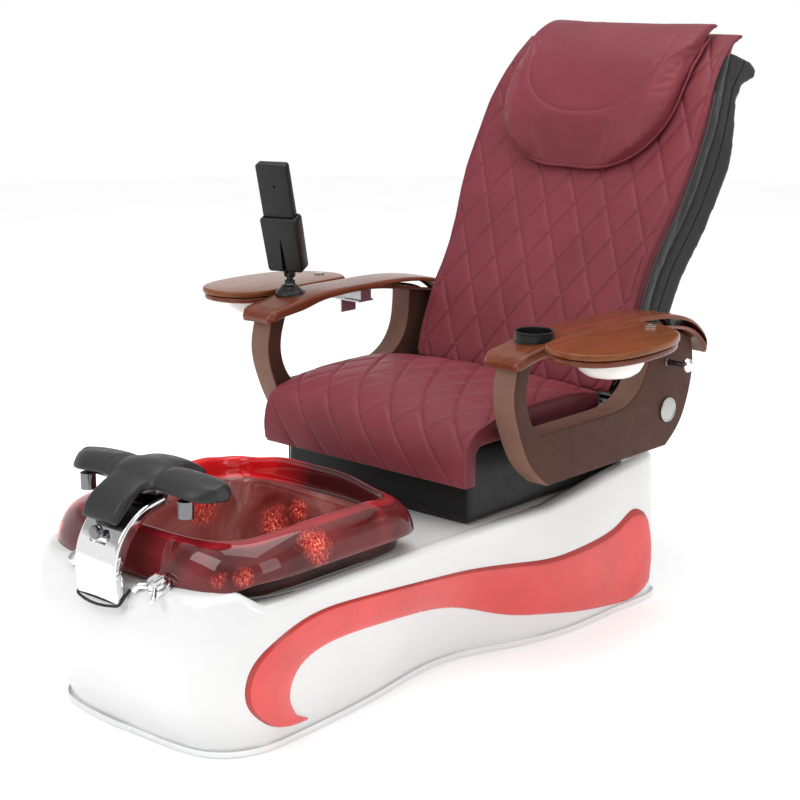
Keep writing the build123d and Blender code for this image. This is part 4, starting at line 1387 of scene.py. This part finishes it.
def make_remote():
    body = plate("remote", [round_corners(box(-40, 22, 40, 292), 7)], "Y", -11, 11, 2.5, 3)
    hole = lathe("remote_hole", [(0, -13), (3.2, -13), (3.2, -6), (0, -6)], (2, 0, 236), (0, 1, 0), 24)
    pits = [lathe("pit_%d" % z, [(0, 6.2), (8.5, 6.2), (8.5, 20), (0, 20)], (0, 0, z), (0, 1, 0), 32)
            for z in (258, 235, 212)]
    carve(body, hole, *pits)
    place(moved(body, HOLDER), "remote", "black_plastic", black_plastic, "remote_body")
    pocket = plate("holder", [round_corners([(-46, 14), (46, 14), (48, 156), (-48, 156)], 9)],
                   "Y", -20, 20, 5, 3)
    inside = plate("holder_inside", [round_corners(box(-42, 20, 42, 190), 4)], "Y", -14, 14, 1, 1)
    slit = plate("holder_slit", [outline([(-7, 4), (6, 4)], [(6, 4), (3, 70), (0, 108)],
                                         [(0, 108), (-4, 70), (-7, 4)])], "Y", -30, -10, 0.5, 1)
    window = plate("holder_window", [round_corners(box(-30, 40, 30, 190), 6)], "Y", 10, 30, 0.5, 1)
    carve(pocket, inside, slit, window)
    place(moved(pocket, HOLDER), "holder", "black_plastic", black_plastic, "remote_holder")
    for name, low in (("holder_lugs", -12), ("holder_lug_far", 6)):
        lug = plate(name, [round_corners(box(-8, -8, 8, 15), 7)], "X", low, low + 6, 1, 2)
        place(moved(lug, HOLDER), "holder", "black_plastic", black_plastic)
    stand = lathe("stand_puck", [(0, 738.5), (36, 738.5), (37, 740), (36.6, 744), (34, 748), (28, 753),
                                 (23, 758), (20, 762), (16, 764.5), (13.5, 766), (12.6, 768), (12.6, 774),
                                 (11, 776), (0, 776)], (*REMOTE, 0))
    place(stand, "stand", "black_plastic", black_plastic, "remote_stand")
    collar = lathe("stand_collar", [(12.8, 765), (14.6, 765.6), (14.6, 767.4), (12.8, 768)], (*REMOTE, 0))
    place(collar, "stand", "black_plastic", dark_chrome)
    eye = plate("stand_eye", [round_corners(box(-9, 770, 9, 798), 8.5)], "X", -5, 5, 0.8, 2)
    place(moved(eye, STAND), "stand", "black_plastic", black_plastic)


def round_corners(corners, radius, steps=6):
    """A closed outline with each corner turned into an arc."""
    points = []
    c = [np.array(p, float) for p in corners]
    for i, corner in enumerate(c):
        before, after = c[i - 1] - corner, c[(i + 1) % len(c)] - corner
        before /= np.linalg.norm(before)
        after /= np.linalg.norm(after)
        half = math.acos(np.clip(before @ after, -1, 1)) / 2
        reach = radius / math.tan(half)
        centre = corner + (before + after) / np.linalg.norm(before + after) * radius / math.sin(half)
        start, end = corner + before * reach, corner + after * reach
        for t in np.linspace(0, 1, steps):
            p = start * (1 - t) + end * t - centre
            points.append(centre + p / np.linalg.norm(p) * radius)
    return np.array(points)


make_footrest()
make_arch()
make_taps()
for side, name in SIDES:
    make_arm(side, name)
make_fittings()
make_remote()
